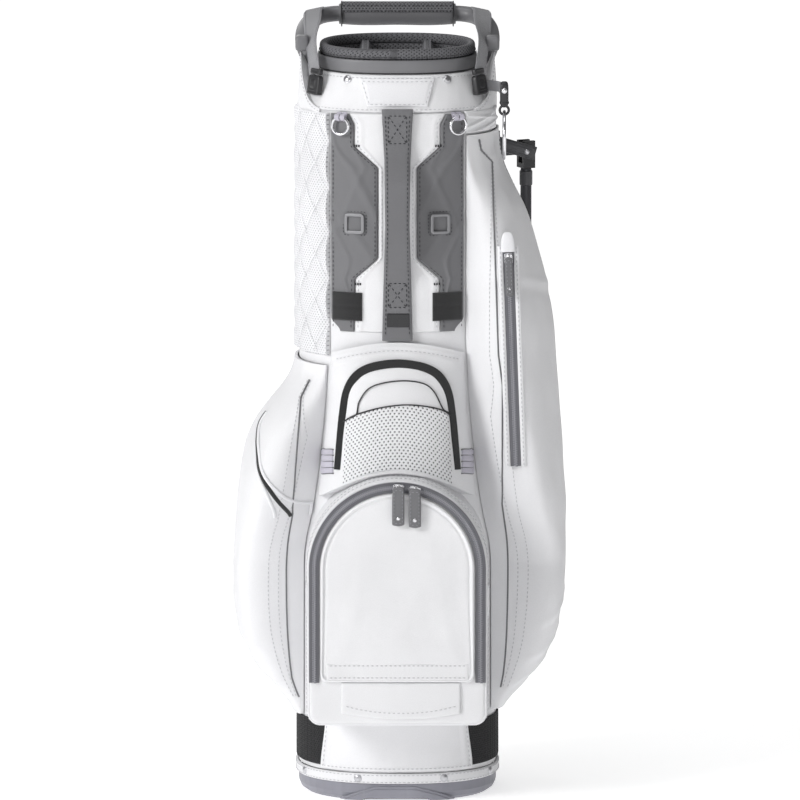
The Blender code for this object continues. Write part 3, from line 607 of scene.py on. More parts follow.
def piece(name: str, shape: Shape | Sequence[Shape], finish: Finish, body: str = ROOT, slot: str = "",
          replaces: Sequence[str] = ()) -> Any:
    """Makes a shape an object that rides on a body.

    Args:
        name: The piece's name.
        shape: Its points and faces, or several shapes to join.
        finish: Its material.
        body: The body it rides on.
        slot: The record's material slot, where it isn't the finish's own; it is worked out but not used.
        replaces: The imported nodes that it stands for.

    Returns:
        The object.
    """
    if not isinstance(shape, Shape):
        shape = Shape.joined(shape)
    slot = slot or SLOTS.get(finish.name, "white_leather")
    mesh = bpy.data.meshes.new(name)
    counts = [len(block) for block in shape.faces]
    loops = np.concatenate([block.ravel() for block in shape.faces]).astype(np.int32)
    sizes = np.concatenate([np.full(n, block.shape[1], np.int32) for n, block in zip(counts, shape.faces)])
    mesh.vertices.add(len(shape.points))
    mesh.vertices.foreach_set("co", shape.points.astype(np.float32).ravel())
    mesh.loops.add(len(loops))
    mesh.loops.foreach_set("vertex_index", loops)
    mesh.polygons.add(len(sizes))
    mesh.polygons.foreach_set("loop_start", (np.cumsum(sizes) - sizes).astype(np.int32))
    mesh.update(calc_edges=True)
    layer = mesh.uv_layers.new(name="UVMap")
    layer.data.foreach_set("uv", shape.uv[loops].astype(np.float32).ravel())
    bm = bmesh.new()
    bm.from_mesh(mesh)
    bmesh.ops.remove_doubles(bm, verts=bm.verts, dist=MERGE)
    bmesh.ops.dissolve_degenerate(bm, edges=bm.edges, dist=1e-7)
    bmesh.ops.recalc_face_normals(bm, faces=bm.faces)
    bm.to_mesh(mesh)
    bm.free()
    mesh.validate()
    mesh.shade_smooth()
    mesh.set_sharp_from_angle(angle=math.radians(SHARP))
    mesh.materials.append(finish.made())
    thing = bpy.data.objects.new(name, mesh)
    bpy.context.scene.collection.objects.link(thing)
    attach(thing, body)
    if replaces:
        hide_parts(*replaces)
    log.info("%s: %d faces", name, len(mesh.polygons))
    return thing


def loft(rings: Array, closed_ends: bool = False, wrap: bool = False) -> Shape:
    """Rings of points joined in turn.

    Args:
        rings: Points by ring and place round it.
        closed_ends: True caps the first and last ring with a fan about its middle.
        wrap: True joins the last ring to the first.

    Returns:
        The shape, with lengths round and along as its UVs.
    """
    rows, columns = rings.shape[:2]
    looped = np.concatenate([rings, rings[:, :1]], axis=1)
    uv = np.stack([lengths(looped, 1)[:, :-1], lengths(rings, 0)], axis=-1).reshape(-1, 2)
    points = rings.reshape(-1, 3)
    faces = [quads(rows, columns, wrap, True)]
    if closed_ends:
        middles = np.stack([rings[0].mean(axis=0), rings[-1].mean(axis=0)])
        first = len(points)
        points = np.concatenate([points, middles])
        uv = np.concatenate([uv, uv[[0, -1]]])
        ring = np.arange(columns)
        after = (ring + 1) % columns
        last = (rows - 1) * columns
        faces.append(np.stack([after, ring, np.full(columns, first)], axis=1))
        faces.append(np.stack([last + ring, last + after, np.full(columns, first + 1)], axis=1))
    return Shape(points, faces, uv)


def sheet_shape(surface: Surface, across: tuple[int, float], up: tuple[int, float], thick: float,
                rim: float = 0.0015, relief: Surface | None = None) -> Shape:
    """A closed sheet on a surface, with a rounded rim.

    Its top stands off the surface by thick * sqrt(1 - (1 - d / rim)^2), where d is the distance
    to the nearest edge, plus a relief that fades to nothing at the edge.

    Args:
        surface: The sheet's underside, a function of shares across and up.
        across: The number of steps across, and the share of each side's rim.
        up: The same, up the sheet.
        thick: How far the top stands off.
        rim: The width of the rounding.
        relief: Extra height of the top, in metres, by shares across and up.

    Returns:
        The shape, its UVs in metres.
    """
    u, v = np.meshgrid(spaced(*across), spaced(*up))
    under = surface(u, v)
    normals = grid_normals(under)
    wide, tall = lengths(under, 1), lengths(under, 0)
    edge = np.minimum(np.minimum(wide, wide[:, -1:] - wide), np.minimum(tall, tall[-1:] - tall))
    share = np.clip(edge / rim, 0.0, 1.0)
    height = thick * np.sqrt(np.clip(1 - (1 - share) ** 2, 0.0, 1.0))
    if relief is not None:
        height = height + relief(u, v) * smooth(share, 0.0, 1.0)
    top = under + normals * height[..., None]
    rows, columns = u.shape
    uv = np.stack([wide - wide[:, -1:] / 2, tall], axis=-1).reshape(-1, 2)
    face = quads(rows, columns)
    count = rows * columns
    return Shape(np.concatenate([top.reshape(-1, 3), under.reshape(-1, 3)]), [face, face[:, ::-1] + count],
                 np.concatenate([uv, uv]))


def frames_along(path: Array, outward: Array | None = None, closed: bool = False) -> tuple[Array, Array, Array]:
    """The tangent, side and outward directions at each point of a path.

    Args:
        path: The points.
        outward: A rough outward direction at each, or none for straight up.
        closed: True if the path returns to its start.

    Returns:
        Tangents, sides and outward directions.
    """
    if closed:
        tangent = unit(np.roll(path, -1, axis=0) - np.roll(path, 1, axis=0))
    else:
        tangent = unit(np.gradient(path, axis=0))
    rough = np.broadcast_to(UP if outward is None else outward, path.shape)
    side = unit(np.cross(tangent, rough))
    return tangent, side, unit(np.cross(side, tangent))


def swept(path: Array, profile: Array, outward: Array | None = None, closed: bool = False,
          scale: Array | None = None) -> Shape:
    """A closed profile (side, out) carried along a path.

    Args:
        path: The path's points.
        profile: The section's points, round it.
        outward: A rough outward direction along the path.
        closed: True joins its end to its start.
        scale: A scale of the section at each point, one number or (side, out).

    Returns:
        The shape.
    """
    _, side, out = frames_along(path, outward, closed)
    sizes = np.ones((len(path), 2)) if scale is None else np.asarray(scale).reshape(len(path),
                                                                                    -1) * np.ones((1, 2))
    rings = (path[:, None] + side[:, None] * (profile[None, :, 0] * sizes[:, :1])[..., None]
             + out[:, None] * (profile[None, :, 1] * sizes[:, 1:])[..., None])
    return loft(rings, closed_ends=not closed, wrap=closed)


def oval(half_side: float, half_out: float, count: int = 16, power: float = 2.0) -> Array:
    """A rounded section: a superellipse of the given half sizes."""
    angle = circle(count)
    return np.stack([half_side * signed_power(np.cos(angle), 2 / power),
                     half_out * signed_power(np.sin(angle), 2 / power)], axis=1)


def smooth_path(points: Sequence[Sequence[float]], count: int) -> Array:
    """Points at even lengths along a Catmull-Rom curve through the given ones."""
    given = np.asarray(points, dtype=float)
    padded = np.concatenate([[2 * given[0] - given[1]], given, [2 * given[-1] - given[-2]]])
    share = np.linspace(0, len(given) - 1, count * 6)
    part = np.minimum(share.astype(int), len(given) - 2)
    t = (share - part)[:, None]
    a, b, c, d = (padded[part + k] for k in range(4))
    dense = 0.5 * (2 * b + (c - a) * t + (2 * a - 5 * b + 4 * c - d) * t ** 2 + (3 * b - a - 3 * c + d) * t ** 3)
    return even_path(dense, count)


def even_path(path: Array, count: int) -> Array:
    """A path resampled at even lengths."""
    run = np.concatenate([[0.0], np.cumsum(np.linalg.norm(np.diff(path, axis=0), axis=1))])
    return np.stack([np.interp(np.linspace(0, run[-1], count), run, path[:, k]) for k in range(3)], axis=1)


def path_length(path: Array) -> float:
    """The length of a path."""
    return float(np.linalg.norm(np.diff(path, axis=0), axis=1).sum())


def ball_box(size: Sequence[float], power: float = 5.0, count: int = 24, rows: int = 15) -> Shape:
    """A box with soft edges and corners: a superellipsoid of the given full sizes."""
    angle = circle(count)
    tilt = np.linspace(-math.pi / 2, math.pi / 2, rows)[:, None]
    ring = signed_power(np.cos(tilt), 2 / power)
    x = ring * signed_power(np.cos(angle), 2 / power) * size[0] / 2
    y = ring * signed_power(np.sin(angle), 2 / power) * size[1] / 2
    z = signed_power(np.sin(tilt), 2 / power) * size[2] / 2 * np.ones_like(angle)
    return loft(xyz(x, y, z))


def turned(profile: Sequence[Sequence[float]], count: int = 32) -> Shape:
    """A profile of (radius, height) points turned about local Z, its ends on or near the axis."""
    given = np.asarray(profile, dtype=float)
    angle = circle(count)
    rings = xyz(given[:, :1] * np.cos(angle), given[:, :1] * np.sin(angle),
                      given[:, 1:] * np.ones_like(angle))
    return loft(rings, closed_ends=True)


def ring_shape(major: float, minor: float, around: int = 64, section: int = 14) -> Shape:
    """A round wire ring in the local XY plane."""
    angle = circle(around)
    path = xyz(major * np.cos(angle), major * np.sin(angle), 0 * angle)
    return swept(path, oval(minor, minor, section), UP, closed=True)


def placed(origin: Sequence[float], x_axis: Sequence[float], z_axis: Sequence[float]) -> Array:
    """A matrix with the given origin, its X near x_axis and its Z along z_axis."""
    z = unit(np.asarray(z_axis, dtype=float))
    y = unit(np.cross(z, np.asarray(x_axis, dtype=float)))
    matrix = np.eye(4)
    matrix[:3, 0], matrix[:3, 1], matrix[:3, 2], matrix[:3, 3] = np.cross(y, z), y, z, origin
    return matrix


def stitches(path: Array, outward: Array, length: float = 0.0034, gap: float = 0.0018,
             radius: float = 0.00048, closed: bool = False) -> Shape:
    """A row of thread stitches along a path.

    Each is a small spindle of length `length` that bows out of the surface and dips in at its ends.

    Args:
        path: The seam's points.
        outward: The surface's outward direction at each.
        length: A stitch's length.
        gap: The gap between two.
        radius: The thread's radius.
        closed: True if the path returns to its start.

    Returns:
        All the stitches as one shape.
    """
    if closed:
        path, outward = np.concatenate([path, path[:1]]), np.concatenate([outward, outward[:1]])
    run = np.concatenate([[0.0], np.cumsum(np.linalg.norm(np.diff(path, axis=0), axis=1))])
    count = max(1, int(run[-1] / (length + gap)))
    pitch = run[-1] / count
    share = np.linspace(-0.5, 0.5, 7)
    along = (np.arange(count)[:, None] + 0.5) * pitch + share * length
    centre = np.stack([np.interp(along, run, path[:, k]) for k in range(3)], axis=-1)
    out = unit(np.stack([np.interp(along, run, outward[:, k]) for k in range(3)], axis=-1))
    tangent = unit(np.gradient(centre, axis=1))
    side = unit(np.cross(tangent, out))
    fat = np.sqrt(np.clip(1 - (share * 2) ** 2, 0.0, 1.0)) * 0.9 + 0.1
    lift = radius * (0.9 - 1.3 * (share * 2) ** 4)
    angle = circle(6)
    ring = (side[..., None, :] * np.cos(angle)[:, None] + out[..., None, :] * np.sin(angle)[:, None])
    points = (centre + out * lift[None, :, None])[..., None, :] + ring * (radius * fat)[None, :, None, None]
    one = quads(7, 6, False, True)
    caps = np.stack([np.arange(6)[::-1], np.arange(6) + 36])
    faces = (one[None] + (np.arange(count) * 42)[:, None, None]).reshape(-1, 4)
    ends = (caps[None] + (np.arange(count) * 42)[:, None, None]).reshape(-1, 6)
    flat = points.reshape(-1, 3)
    return Shape(flat, [faces, ends], np.zeros((len(flat), 2)))


@dataclass(frozen=True)
class Body:
    """The bag's oval body: (height, half width, half depth), straight between the rows."""

    heights: tuple[float, ...] = (0.0, 0.7, 0.8, 0.8455)
    widths: tuple[float, ...] = (0.115, 0.1135, 0.113, 0.0905)
    depths: tuple[float, ...] = (0.106, 0.101, 0.1, 0.0825)
    squareness: float = 2.4

    def halves(self, z: Any) -> tuple[Any, Any]:
        """The half width and half depth at a height."""
        return np.interp(z, self.heights, self.widths), np.interp(z, self.heights, self.depths)

    def at(self, turn: Any, z: Any, out: Any = 0.0) -> Array:
        """Points at a turn (0 front, 90 degrees at +X), a height and a distance out."""
        width, depth = self.halves(z)
        x = (width + out) * signed_power(np.sin(turn), 2 / self.squareness)
        y = -(depth + out) * signed_power(np.cos(turn), 2 / self.squareness)
        return xyz(x, y, z)

    def turn(self, x: Any, z: Any) -> Any:
        """The turn at which the front half has this x."""
        share = np.clip(x / self.halves(z)[0], -1.0, 1.0)
        return np.arcsin(signed_power(share, self.squareness / 2))

    def front(self, x: Any, z: Any, out: Any = 0.0) -> Array:
        """Points of the front half at x and z."""
        return self.at(self.turn(x, z), z, out)

    def outward(self, points: Array) -> Array:
        """The outward direction at points near the surface: the gradient of the oval's equation."""
        width, depth = self.halves(points[..., 2])
        power = self.squareness - 1
        normal = xyz(signed_power(points[..., 0] / width, power) / width,
                           signed_power(points[..., 1] / depth, power) / depth, 0 * width)
        return unit(normal)

    def frame(self, turn: float, z: float, out: float = 0.0) -> Array:
        """A matrix on the surface: X along it, Y up it, Z out of it."""
        step = 1e-4
        along = self.at(turn + step, z) - self.at(turn - step, z)
        up = self.at(turn, z + step) - self.at(turn, z - step)
        outward = unit(np.cross(along, up))
        return placed(self.at(turn, z) + outward * out, along, outward)


BODY = Body()
GAP = 0.0012


def oval_ring(half_width: float, half_depth: float, z: float, count: int = 112) -> tuple[Array, Array]:
    """A level oval of the body's squareness, and its outward directions."""
    turn = circle(count)
    power = BODY.squareness
    points = xyz(half_width * signed_power(np.sin(turn), 2 / power),
                       -half_depth * signed_power(np.cos(turn), 2 / power), z + 0 * turn)
    normal = xyz(signed_power(points[:, 0] / half_width, power - 1) / half_width,
                       signed_power(points[:, 1] / half_depth, power - 1) / half_depth, 0 * turn)
    return points, unit(normal)


def area(left: Callable[[Array], Array], right: Callable[[Array], Array], low: float, high: float,
         out: float = GAP) -> Surface:
    """A part of the front between two edges: z runs from low to high, x from left(z) to right(z)."""

    def surface(u: Array, v: Array) -> Array:
        """The point at shares across and up."""
        z = lerp(low, high, v)
        return BODY.front(lerp(left(z), right(z), u), z, out)

    return surface



def seam(path: Array, lift: float = 0.0, outward: Array | None = None, **sizes: Any) -> Shape:
    """Stitches along a path on the body, lifted off it."""
    out = BODY.outward(path) if outward is None else np.broadcast_to(outward, path.shape)
    return stitches(path + out * lift, out, **sizes)


def softened(rows: Sequence[tuple[float, float]], z: Array, span: float) -> Array:
    """A value by height from (height, value) rows, its corners rounded by an average over twice the span."""
    heights, values = zip(*rows)
    return np.mean([np.interp(z + offset, heights, values) for offset in np.linspace(-span, span, 17)], axis=0)


def line(start: Sequence[float], end: Sequence[float], lift: float, count: int = 40) -> Array:
    """A straight run of (x, z) points laid on the body's front, lifted off it."""
    x, z = (np.linspace(a, b, count) for a, b in zip(start, end))
    return BODY.front(x, z, lift)


def dome(place: Array, radius: float = 0.005, height: float = 0.0022) -> Shape:
    """A dome rivet with a rolled rim, on the XY plane of a matrix."""
    profile = [(radius * 0.9, -0.0012), (radius, 0.0), (radius * 0.99, height * 0.18),
               (radius * 0.9, height * 0.32),
               (radius * 0.82, height * 0.34)]
    profile += [(radius * 0.8 * math.cos(a), height * (0.34 + 0.66 * math.sin(a)))
                for a in np.linspace(0.25, math.pi / 2 - 0.12, 7)]
    return turned(profile).moved(place)


@dataclass
class FootAndTube:
    """The tube with its lining, the moulded foot's embossing, the rim band and the mesh gussets."""

    low: float = 0.0335
    high: float = 0.845
    band_z: float = 0.027
    rivet_x: tuple[float, ...] = (-0.105, -0.045, 0.053, 0.105)
    gussets: Rows = ((-0.0825, -130.0), (0.0805, 120.0))
    vault: Rows = (
        (-0.067, 0.0024), (-0.045, 0.011), (-0.026, 0.0178), (0.021, 0.0178), (0.045, 0.011), (0.067, 0.0024),
    )

    def build(self) -> None:
        """Makes the pieces."""
        self.tube()
        self.band()
        self.lower_panel()
        self.foot_arch()

    def tube(self) -> None:
        """The white tube and its dark lining: oval rings up the outside and down the inside."""
        turn = circle(128)
        heights = np.concatenate([np.linspace(self.low, 0.7, 44), np.linspace(0.71, 0.795, 8),
                                  np.linspace(0.8, self.high, 10)])[:, None]
        sag = 0.0006 * crinkle(turn * 5 + 0 * heights, heights * 60, 3.0) * smooth(0.12 - heights, 0.0, 0.05)
        outer = BODY.at(turn, heights, sag)
        inner = BODY.at(turn, heights[::-1], -0.0011)
        piece("tube_skin", loft(np.concatenate([outer, inner]), wrap=True), Finish.WHITE, replaces=["tube_shell"])
        lining = np.concatenate([BODY.at(turn, heights, -0.0013), BODY.at(turn, heights[::-1], -0.0024)])
        piece("tube_lining", loft(lining, wrap=True), Finish.LINING)

    def band(self) -> None:
        """The white band above the foot, its stitches and rivets, and the gussets over it."""
        turn = circle(160)
        path = BODY.at(turn, self.band_z + 0 * turn, 0.0012)
        outward = BODY.outward(path)
        shape = swept(path, oval(0.0061, 0.0019, 16, 3.2), outward, closed=True)
        piece("rim_band", shape, Finish.WHITE, replaces=["base_rim_band"])
        rows = [seam(BODY.at(turn, self.band_z + dz + 0 * turn, 0.0012), 0.0018, closed=True) for dz in (0.004,
                                                                                                         -0.0041)]
        piece("rim_band_stitches", rows, Finish.SHADED_WHITE_THREAD)
        places = [BODY.frame(float(BODY.turn(x, self.band_z)), self.band_z, 0.003) for x in self.rivet_x]
        places += [BODY.frame(math.pi - float(BODY.turn(x, self.band_z)), self.band_z,
                              0.003) for x in self.rivet_x]
        piece("rim_band_rivets", [dome(place, 0.0047, 0.002) for place in places], Finish.DULL_STEEL)
        for name, (x, back) in zip(("left", "right"), self.gussets):
            ends = sorted((math.degrees(float(BODY.turn(x, 0.065))), back))

            def gusset(u: Array, v: Array, ends: Sequence[float] = ends) -> Array:
                """A stretch of the tube's side."""
                return BODY.at(np.radians(lerp(*ends, u)), lerp(0.0385, 0.0912, v), GAP)
            ribs = sheet_shape(gusset, (150, 0.02), (18, 0.05), 0.0013, 0.0015,
                               lambda u, v: 0.0005 * np.sin(u * math.tau * 34) ** 2)
            piece(f"mesh_gusset_{name}", ribs, Finish.MESH, replaces=[f"flex_gusset_{name}"])

    def lower_panel(self) -> None:
        """The white panel under the ball pocket with folded sides and a stitched hem."""
        side = (-0.0875, 0.0855)

        def half(z: Array) -> Array:
            """How much narrower the panel is, higher up."""
            return 0.0055 * smooth(z, 0.035, 0.095)
        surface = area(lambda z: side[0] + half(z), lambda z: side[1] - half(z), 0.035, 0.101)

        def folds(u: Array, v: Array) -> Array:
            """Two upright folds near the sides and a soft sag between."""
            ridges = bell(u, 0.045, 0.012) + bell(u, 0.955, 0.012)
            return 0.0011 * ridges + 0.0006 * crinkle(u * 9, v * 4, 5.0)
        piece("lower_front_panel", sheet_shape(surface, (90, 0.02), (26, 0.03), 0.0026, 0.0018, folds),
              Finish.WHITE)
        rows = [seam(line((x, 0.0365), (x - 0.0055 * math.copysign(1, x), 0.0985), GAP + 0.0031))
                for x in (side[0] + 0.0042, side[1] - 0.0042)]
        rows.append(seam(line((side[0] + 0.0042, 0.039), (side[1] - 0.0042, 0.039), GAP + 0.0029)))
        piece("lower_panel_stitches", rows, Finish.SHADED_WHITE_THREAD)

    def foot_arch(self) -> None:
        """The embossed arch on the foot's front: a raised plate under a low vault, notched at its foot."""
        for number, (inset, out) in enumerate(((0.0, 0.0002), (0.0032, 0.0014))):
            def arch(u: Array, v: Array, inset: float = inset, out: float = out) -> Array:
                """Between the notch and the vault."""
                x = lerp(-0.066 + inset * 2, 0.066 - inset * 2, u)
                low = 0.001 + 0.0028 * smooth(0.0385 - np.abs(x + 0.001), 0.0, 0.002)
                z = lerp(low, np.maximum(np.interp(x, *zip(*self.vault)) - inset, low + 0.0004), v)
                return BODY.front(x, z, out)
            piece(f"foot_arch_{number}", sheet_shape(arch, (80, 0.01), (8, 0.06), 0.0014, 0.001), Finish.FOOT)


@dataclass
class Cuff:
    """The collar, the padded rim with its lining, the divider bars and the hanging divider sheets."""

    bar_x: tuple[float, float] = (-0.037, 0.035)
    bar_z: float = 0.852
    sheet_half: tuple[float, float] = (0.088, 0.065)
    sheet_z: tuple[float, float, float] = (0.045, 0.79, 0.8365)

    def build(self) -> None:
        """Makes the pieces."""
        path, outward = oval_ring(0.0892, 0.0812, 0.8537)
        piece("cuff_collar", swept(path, oval(0.0078, 0.0021, 20, 4.5), outward, closed=True), Finish.COLLAR,
              replaces=["top_cuff"])
        path, outward = oval_ring(0.0905, 0.0825, 0.8462)
        piece("cuff_piping", swept(path, oval(0.0011, 0.0011, 10), outward, closed=True), Finish.BLACK_PLASTIC)
        path, outward = oval_ring(0.0853, 0.0773, 0.868)
        piece("cuff_rim", swept(path, oval(0.0061, 0.0047, 26, 2.7), outward, closed=True), Finish.PAD,
              replaces=["cuff_pad"])
        piece("cuff_rim_stitches", stitches(path + outward * 0.0046 - [0, 0, 0.003], outward, closed=True),
              Finish.GRAY_THREAD, slot="gray_pad")
        path, outward = oval_ring(0.0826, 0.0746, 0.85)
        piece("cuff_lining", swept(path, oval(0.0122, 0.0014, 18, 4.0), outward, closed=True), Finish.PAD)
        self.dividers()
        self.sheets()

    def dividers(self) -> None:
        """Padded bars across the mouth: oval sections along sagging lines, sewn along their tops."""
        bars, tops = [], []
        for x in self.bar_x:
            y = np.linspace(-0.0672, 0.0672, 50)
            bars.append(xyz(x + 0 * y, y, self.bar_z - 0.0012 * bell(y, 0.0, 0.04)))
        x = np.linspace(-0.079, 0.079, 60)
        cross = xyz(x, 0 * x, self.bar_z - 0.0015 + 0 * x)
        shapes = [swept(path, oval(0.0076, 0.0148, 24, 2.4)) for path in bars]
        shapes.append(swept(cross, oval(0.0066, 0.0138, 24, 2.4)))
        for path in bars:
            for side in (-0.003, 0.003):
                tops.append(seam(path + [side, 0, 0.0142], outward=UP))
        piece("divider_bars", shapes, Finish.PAD, replaces=["divider_frame"])
        piece("divider_stitches", tops, Finish.LIGHT_THREAD, slot="gray_pad")

    def sheets(self) -> None:
        """The full-length divider sheets, hung from the bars with slight waves."""
        low, shoulder, high = self.sheet_z
        wide, narrow = self.sheet_half
        for name, x in zip(("left", "right"), self.bar_x):
            def surface(u: Array, v: Array, x: float = x) -> Array:
                """x wavers along the sheet while y and z fill its outline."""
                z = lerp(low, high, v)
                half = np.interp(z, (low, shoulder, high), (wide, wide, narrow))
                wave = 0.0016 * np.sin(u * 9 + v * 3) * (1 - v ** 4)
                return xyz(x + wave, lerp(-half, half, u), z)
            made = piece(f"divider_cloth_{name}", sheet_shape(surface, (30, 0.02), (70, 0.004), 0.001, 0.0012),
                         Finish.LINING, replaces=[f"divider_sheet_{name}"])


@dataclass
class LiftHandle:
    """The handle behind the cuff, its sewn grip, the side lugs, straps, ears and buckles."""

    half_route: tuple[tuple[float, float, float], ...] = (
        (0.05, 0.115, 0.8915), (0.074, 0.115, 0.8915), (0.092, 0.105, 0.889), (0.1055, 0.078, 0.882),
        (0.109, 0.05, 0.869), (0.104, 0.035, 0.85), (0.101, 0.03, 0.832),
    )
    grip_half: float = 0.068
    grip_radius: float = 0.0133
    grip_y: float = 0.115
    grip_z: float = 0.8915
    buckle_turn: float = 58.0
    strap_route: tuple[tuple[float, float, float], ...] = (
        (0.096, 0.104, 0.8985), (0.0985, 0.08, 0.8975), (0.0985, 0.048, 0.893), (0.0985, 0.015, 0.885),
        (0.099, -0.015, 0.874), (0.0975, -0.04, 0.86), (0.095, -0.056, 0.843),
    )

    def build(self) -> None:
        """Makes the pieces."""
        left = [(-x, y, z) for x, y, z in reversed(self.half_route)]
        path = smooth_path(left + list(self.half_route), 120)
        share = np.abs(np.linspace(-1, 1, 120))
        scale = np.stack([lerp(1.0, 1.12, smooth(share, 0.5, 0.9)), lerp(1.0, 0.86, smooth(share, 0.5, 0.9))],
                         axis=1)
        outward = unit(xyz(path[:, 0] * 0.6, 0 * share + 0.05, 0.05 + 0 * share)
                       * smooth(share, 0.45, 0.9)[:, None] + np.array([0.0, 0.0, 0.06]))
        piece("handle_loop", swept(path, oval(0.0092, 0.0092, 24, 2.3), outward, scale=scale), Finish.COLLAR,
              replaces=["lift_handle"])
        self.grip()
        for side, name in SIDES:
            self.side_fittings(side, name)

    def grip(self) -> None:
        """The grip: a padded sleeve, a perforated top sewn on it and black end seams."""
        x = np.linspace(-self.grip_half, self.grip_half, 90)
        path = xyz(x, self.grip_y, self.grip_z)
        swell = 1 - 0.1 * (np.abs(x) / self.grip_half) ** 6 - 0.02 * np.cos(x * 90)
        piece("grip_sleeve", swept(path, oval(self.grip_radius, self.grip_radius, 36, 2.2), scale=swell),
              Finish.GRAY, slot="gray_pad", replaces=["handle_grip"])

        def top(u: Array, v: Array) -> Array:
            """A cylinder's upper side, from the front face over the top."""
            angle = np.radians(lerp(12.0, 172.0, v))
            across = lerp(-self.grip_half + 0.002, self.grip_half - 0.002, u)
            return xyz(across, self.grip_y - self.grip_radius * np.cos(angle),
                             self.grip_z + self.grip_radius * np.sin(angle))
        piece("grip_top", sheet_shape(top, (60, 0.02), (30, 0.04), 0.0012, 0.0015), Finish.PAD)
        rows = []
        for degrees in (20.0, 46.0, 140.0):
            angle = math.radians(degrees)
            outward = np.array([0.0, -math.cos(angle), math.sin(angle)])
            rows.append(seam(path[2:-2] + outward * (self.grip_radius + 0.0014), outward=outward))
        piece("grip_stitches", rows, Finish.GRAY_THREAD, slot="gray_pad")
        angle = circle(48)
        ends = []
        for end in (-self.grip_half + 0.003, self.grip_half - 0.003):
            ring = xyz(end + 0 * angle, self.grip_y + 0.0138 * np.cos(angle), self.grip_z + 0.0138 * np.sin(angle))
            ends.append(swept(ring, oval(0.0016, 0.0009, 8), np.array([1.0, 0, 0]), closed=True))
        piece("grip_end_seams", ends, Finish.BLACK_PLASTIC, slot="gray_pad")

    def ear(self, side: int, name: str) -> None:
        """The white leather that rises from the shoulder to the lug: an upright wall with a bell-shaped top."""
        degrees, v = np.meshgrid(np.linspace(48.0, 140.0, 70), spaced(30, 0.04))
        turn = np.radians(degrees)
        top = 0.803 + 0.06 * np.exp(-((degrees - 92.0) / 24.0) ** 2)
        z = lerp(0.799, top, v)
        outer = BODY.at(turn, 0.8 + 0 * z, 0.0022 - 0.004 * v ** 2 * (top - 0.803) / 0.06)
        outer[..., 2] = z
        inner = BODY.at(turn, np.minimum(z, 0.845), 0.0006)
        inner[..., 2] = z
        rings = np.concatenate([outer, inner[:, ::-1]], axis=1) * [side, 1.0, 1.0]
        piece(f"shoulder_ear_{name}", loft(rings, closed_ends=True), Finish.WHITE)
        z_edge = top[0] - 0.0032
        edge = BODY.at(turn[0], 0.8 + 0 * z_edge, 0.0026 - 0.0036 * (top[0] - 0.803) / 0.06)
        edge[:, 2] = z_edge
        edge = edge * [side, 1.0, 1.0]
        piece(f"ear_stitches_{name}", seam(edge, outward=unit(edge * [1.0, 1.0, 0.0])), Finish.SHADED_WHITE_THREAD)

    def side_fittings(self, side: int, name: str) -> None:
        """One side's lug, strap, ear and buckle."""
        lug = ball_box((0.016, 0.02, 0.018), 5.0, 28, 17).shifted(side * 0.11, -0.002, 0.872)
        piece(f"handle_lug_{name}", lug, Finish.COLLAR, replaces=[f"strap_lug_{name}"])
        route = smooth_path([(side * x, y, z) for x, y, z in self.strap_route], 60)
        lean = smooth(-route[:, 1], -0.07, 0.045)[:, None]
        outward = unit(lerp(np.array([side * 0.25, -0.15, 1.0]), np.array([side * 0.85, -0.53, 0.15]), lean))
        piece(f"side_strap_{name}", swept(route, oval(0.011, 0.0009, 20, 5.0), outward), Finish.GRAY_WEB)
        edge = [seam(route[4:-4] + frames_along(route, outward)[1][4:-4] * off + outward[4:-4] * 0.001,
                     outward=outward[4:-4]) for off in (-0.0088, 0.0088)]
        piece(f"side_strap_stitches_{name}", edge, Finish.LIGHT_THREAD, slot="gray_webbing")
        self.ear(side, name)
        place = BODY.frame(side * math.radians(self.buckle_turn), 0.832, 0.012)
        place = placed(place[:3, 3], place[:3, 0], place[:3, 2] * [1.0, 1.0, 0.3])
        body = [ball_box((0.023, 0.023, 0.008), 6.0, 32, 17), ball_box((0.013, 0.013, 0.0094), 4.0, 24, 13),
                ball_box((0.0238, 0.0034, 0.009), 4.0, 24, 13), ball_box((0.018, 0.0016, 0.0094), 4.0, 24, 13)]
        body = [shape.shifted(0.0, y, 0.0) for shape, y in zip(body, (-0.007, -0.0055, -0.0165, -0.013))]
        piece(f"buckle_case_{name}", Shape.joined(body).moved(place), Finish.BLACK_PLASTIC,
              replaces=[f"buckle_body_{name}"])
        insert = [ball_box((0.02, 0.007, 0.006), 6.0, 32, 15), ball_box((0.02, 0.0016, 0.007), 4.0, 20, 11),
                  ball_box((0.02, 0.0016, 0.007), 4.0, 20, 11)]
        insert = [shape.shifted(0.0, y, 0.0) for shape, y in zip(insert, (0.0085, 0.0068, 0.0104))]
        piece(f"buckle_tongue_{name}", Shape.joined(insert).moved(place), Finish.BLACK_PLASTIC,
              f"buckle_insert_{name}_body", replaces=[f"buckle_insert_{name}"])


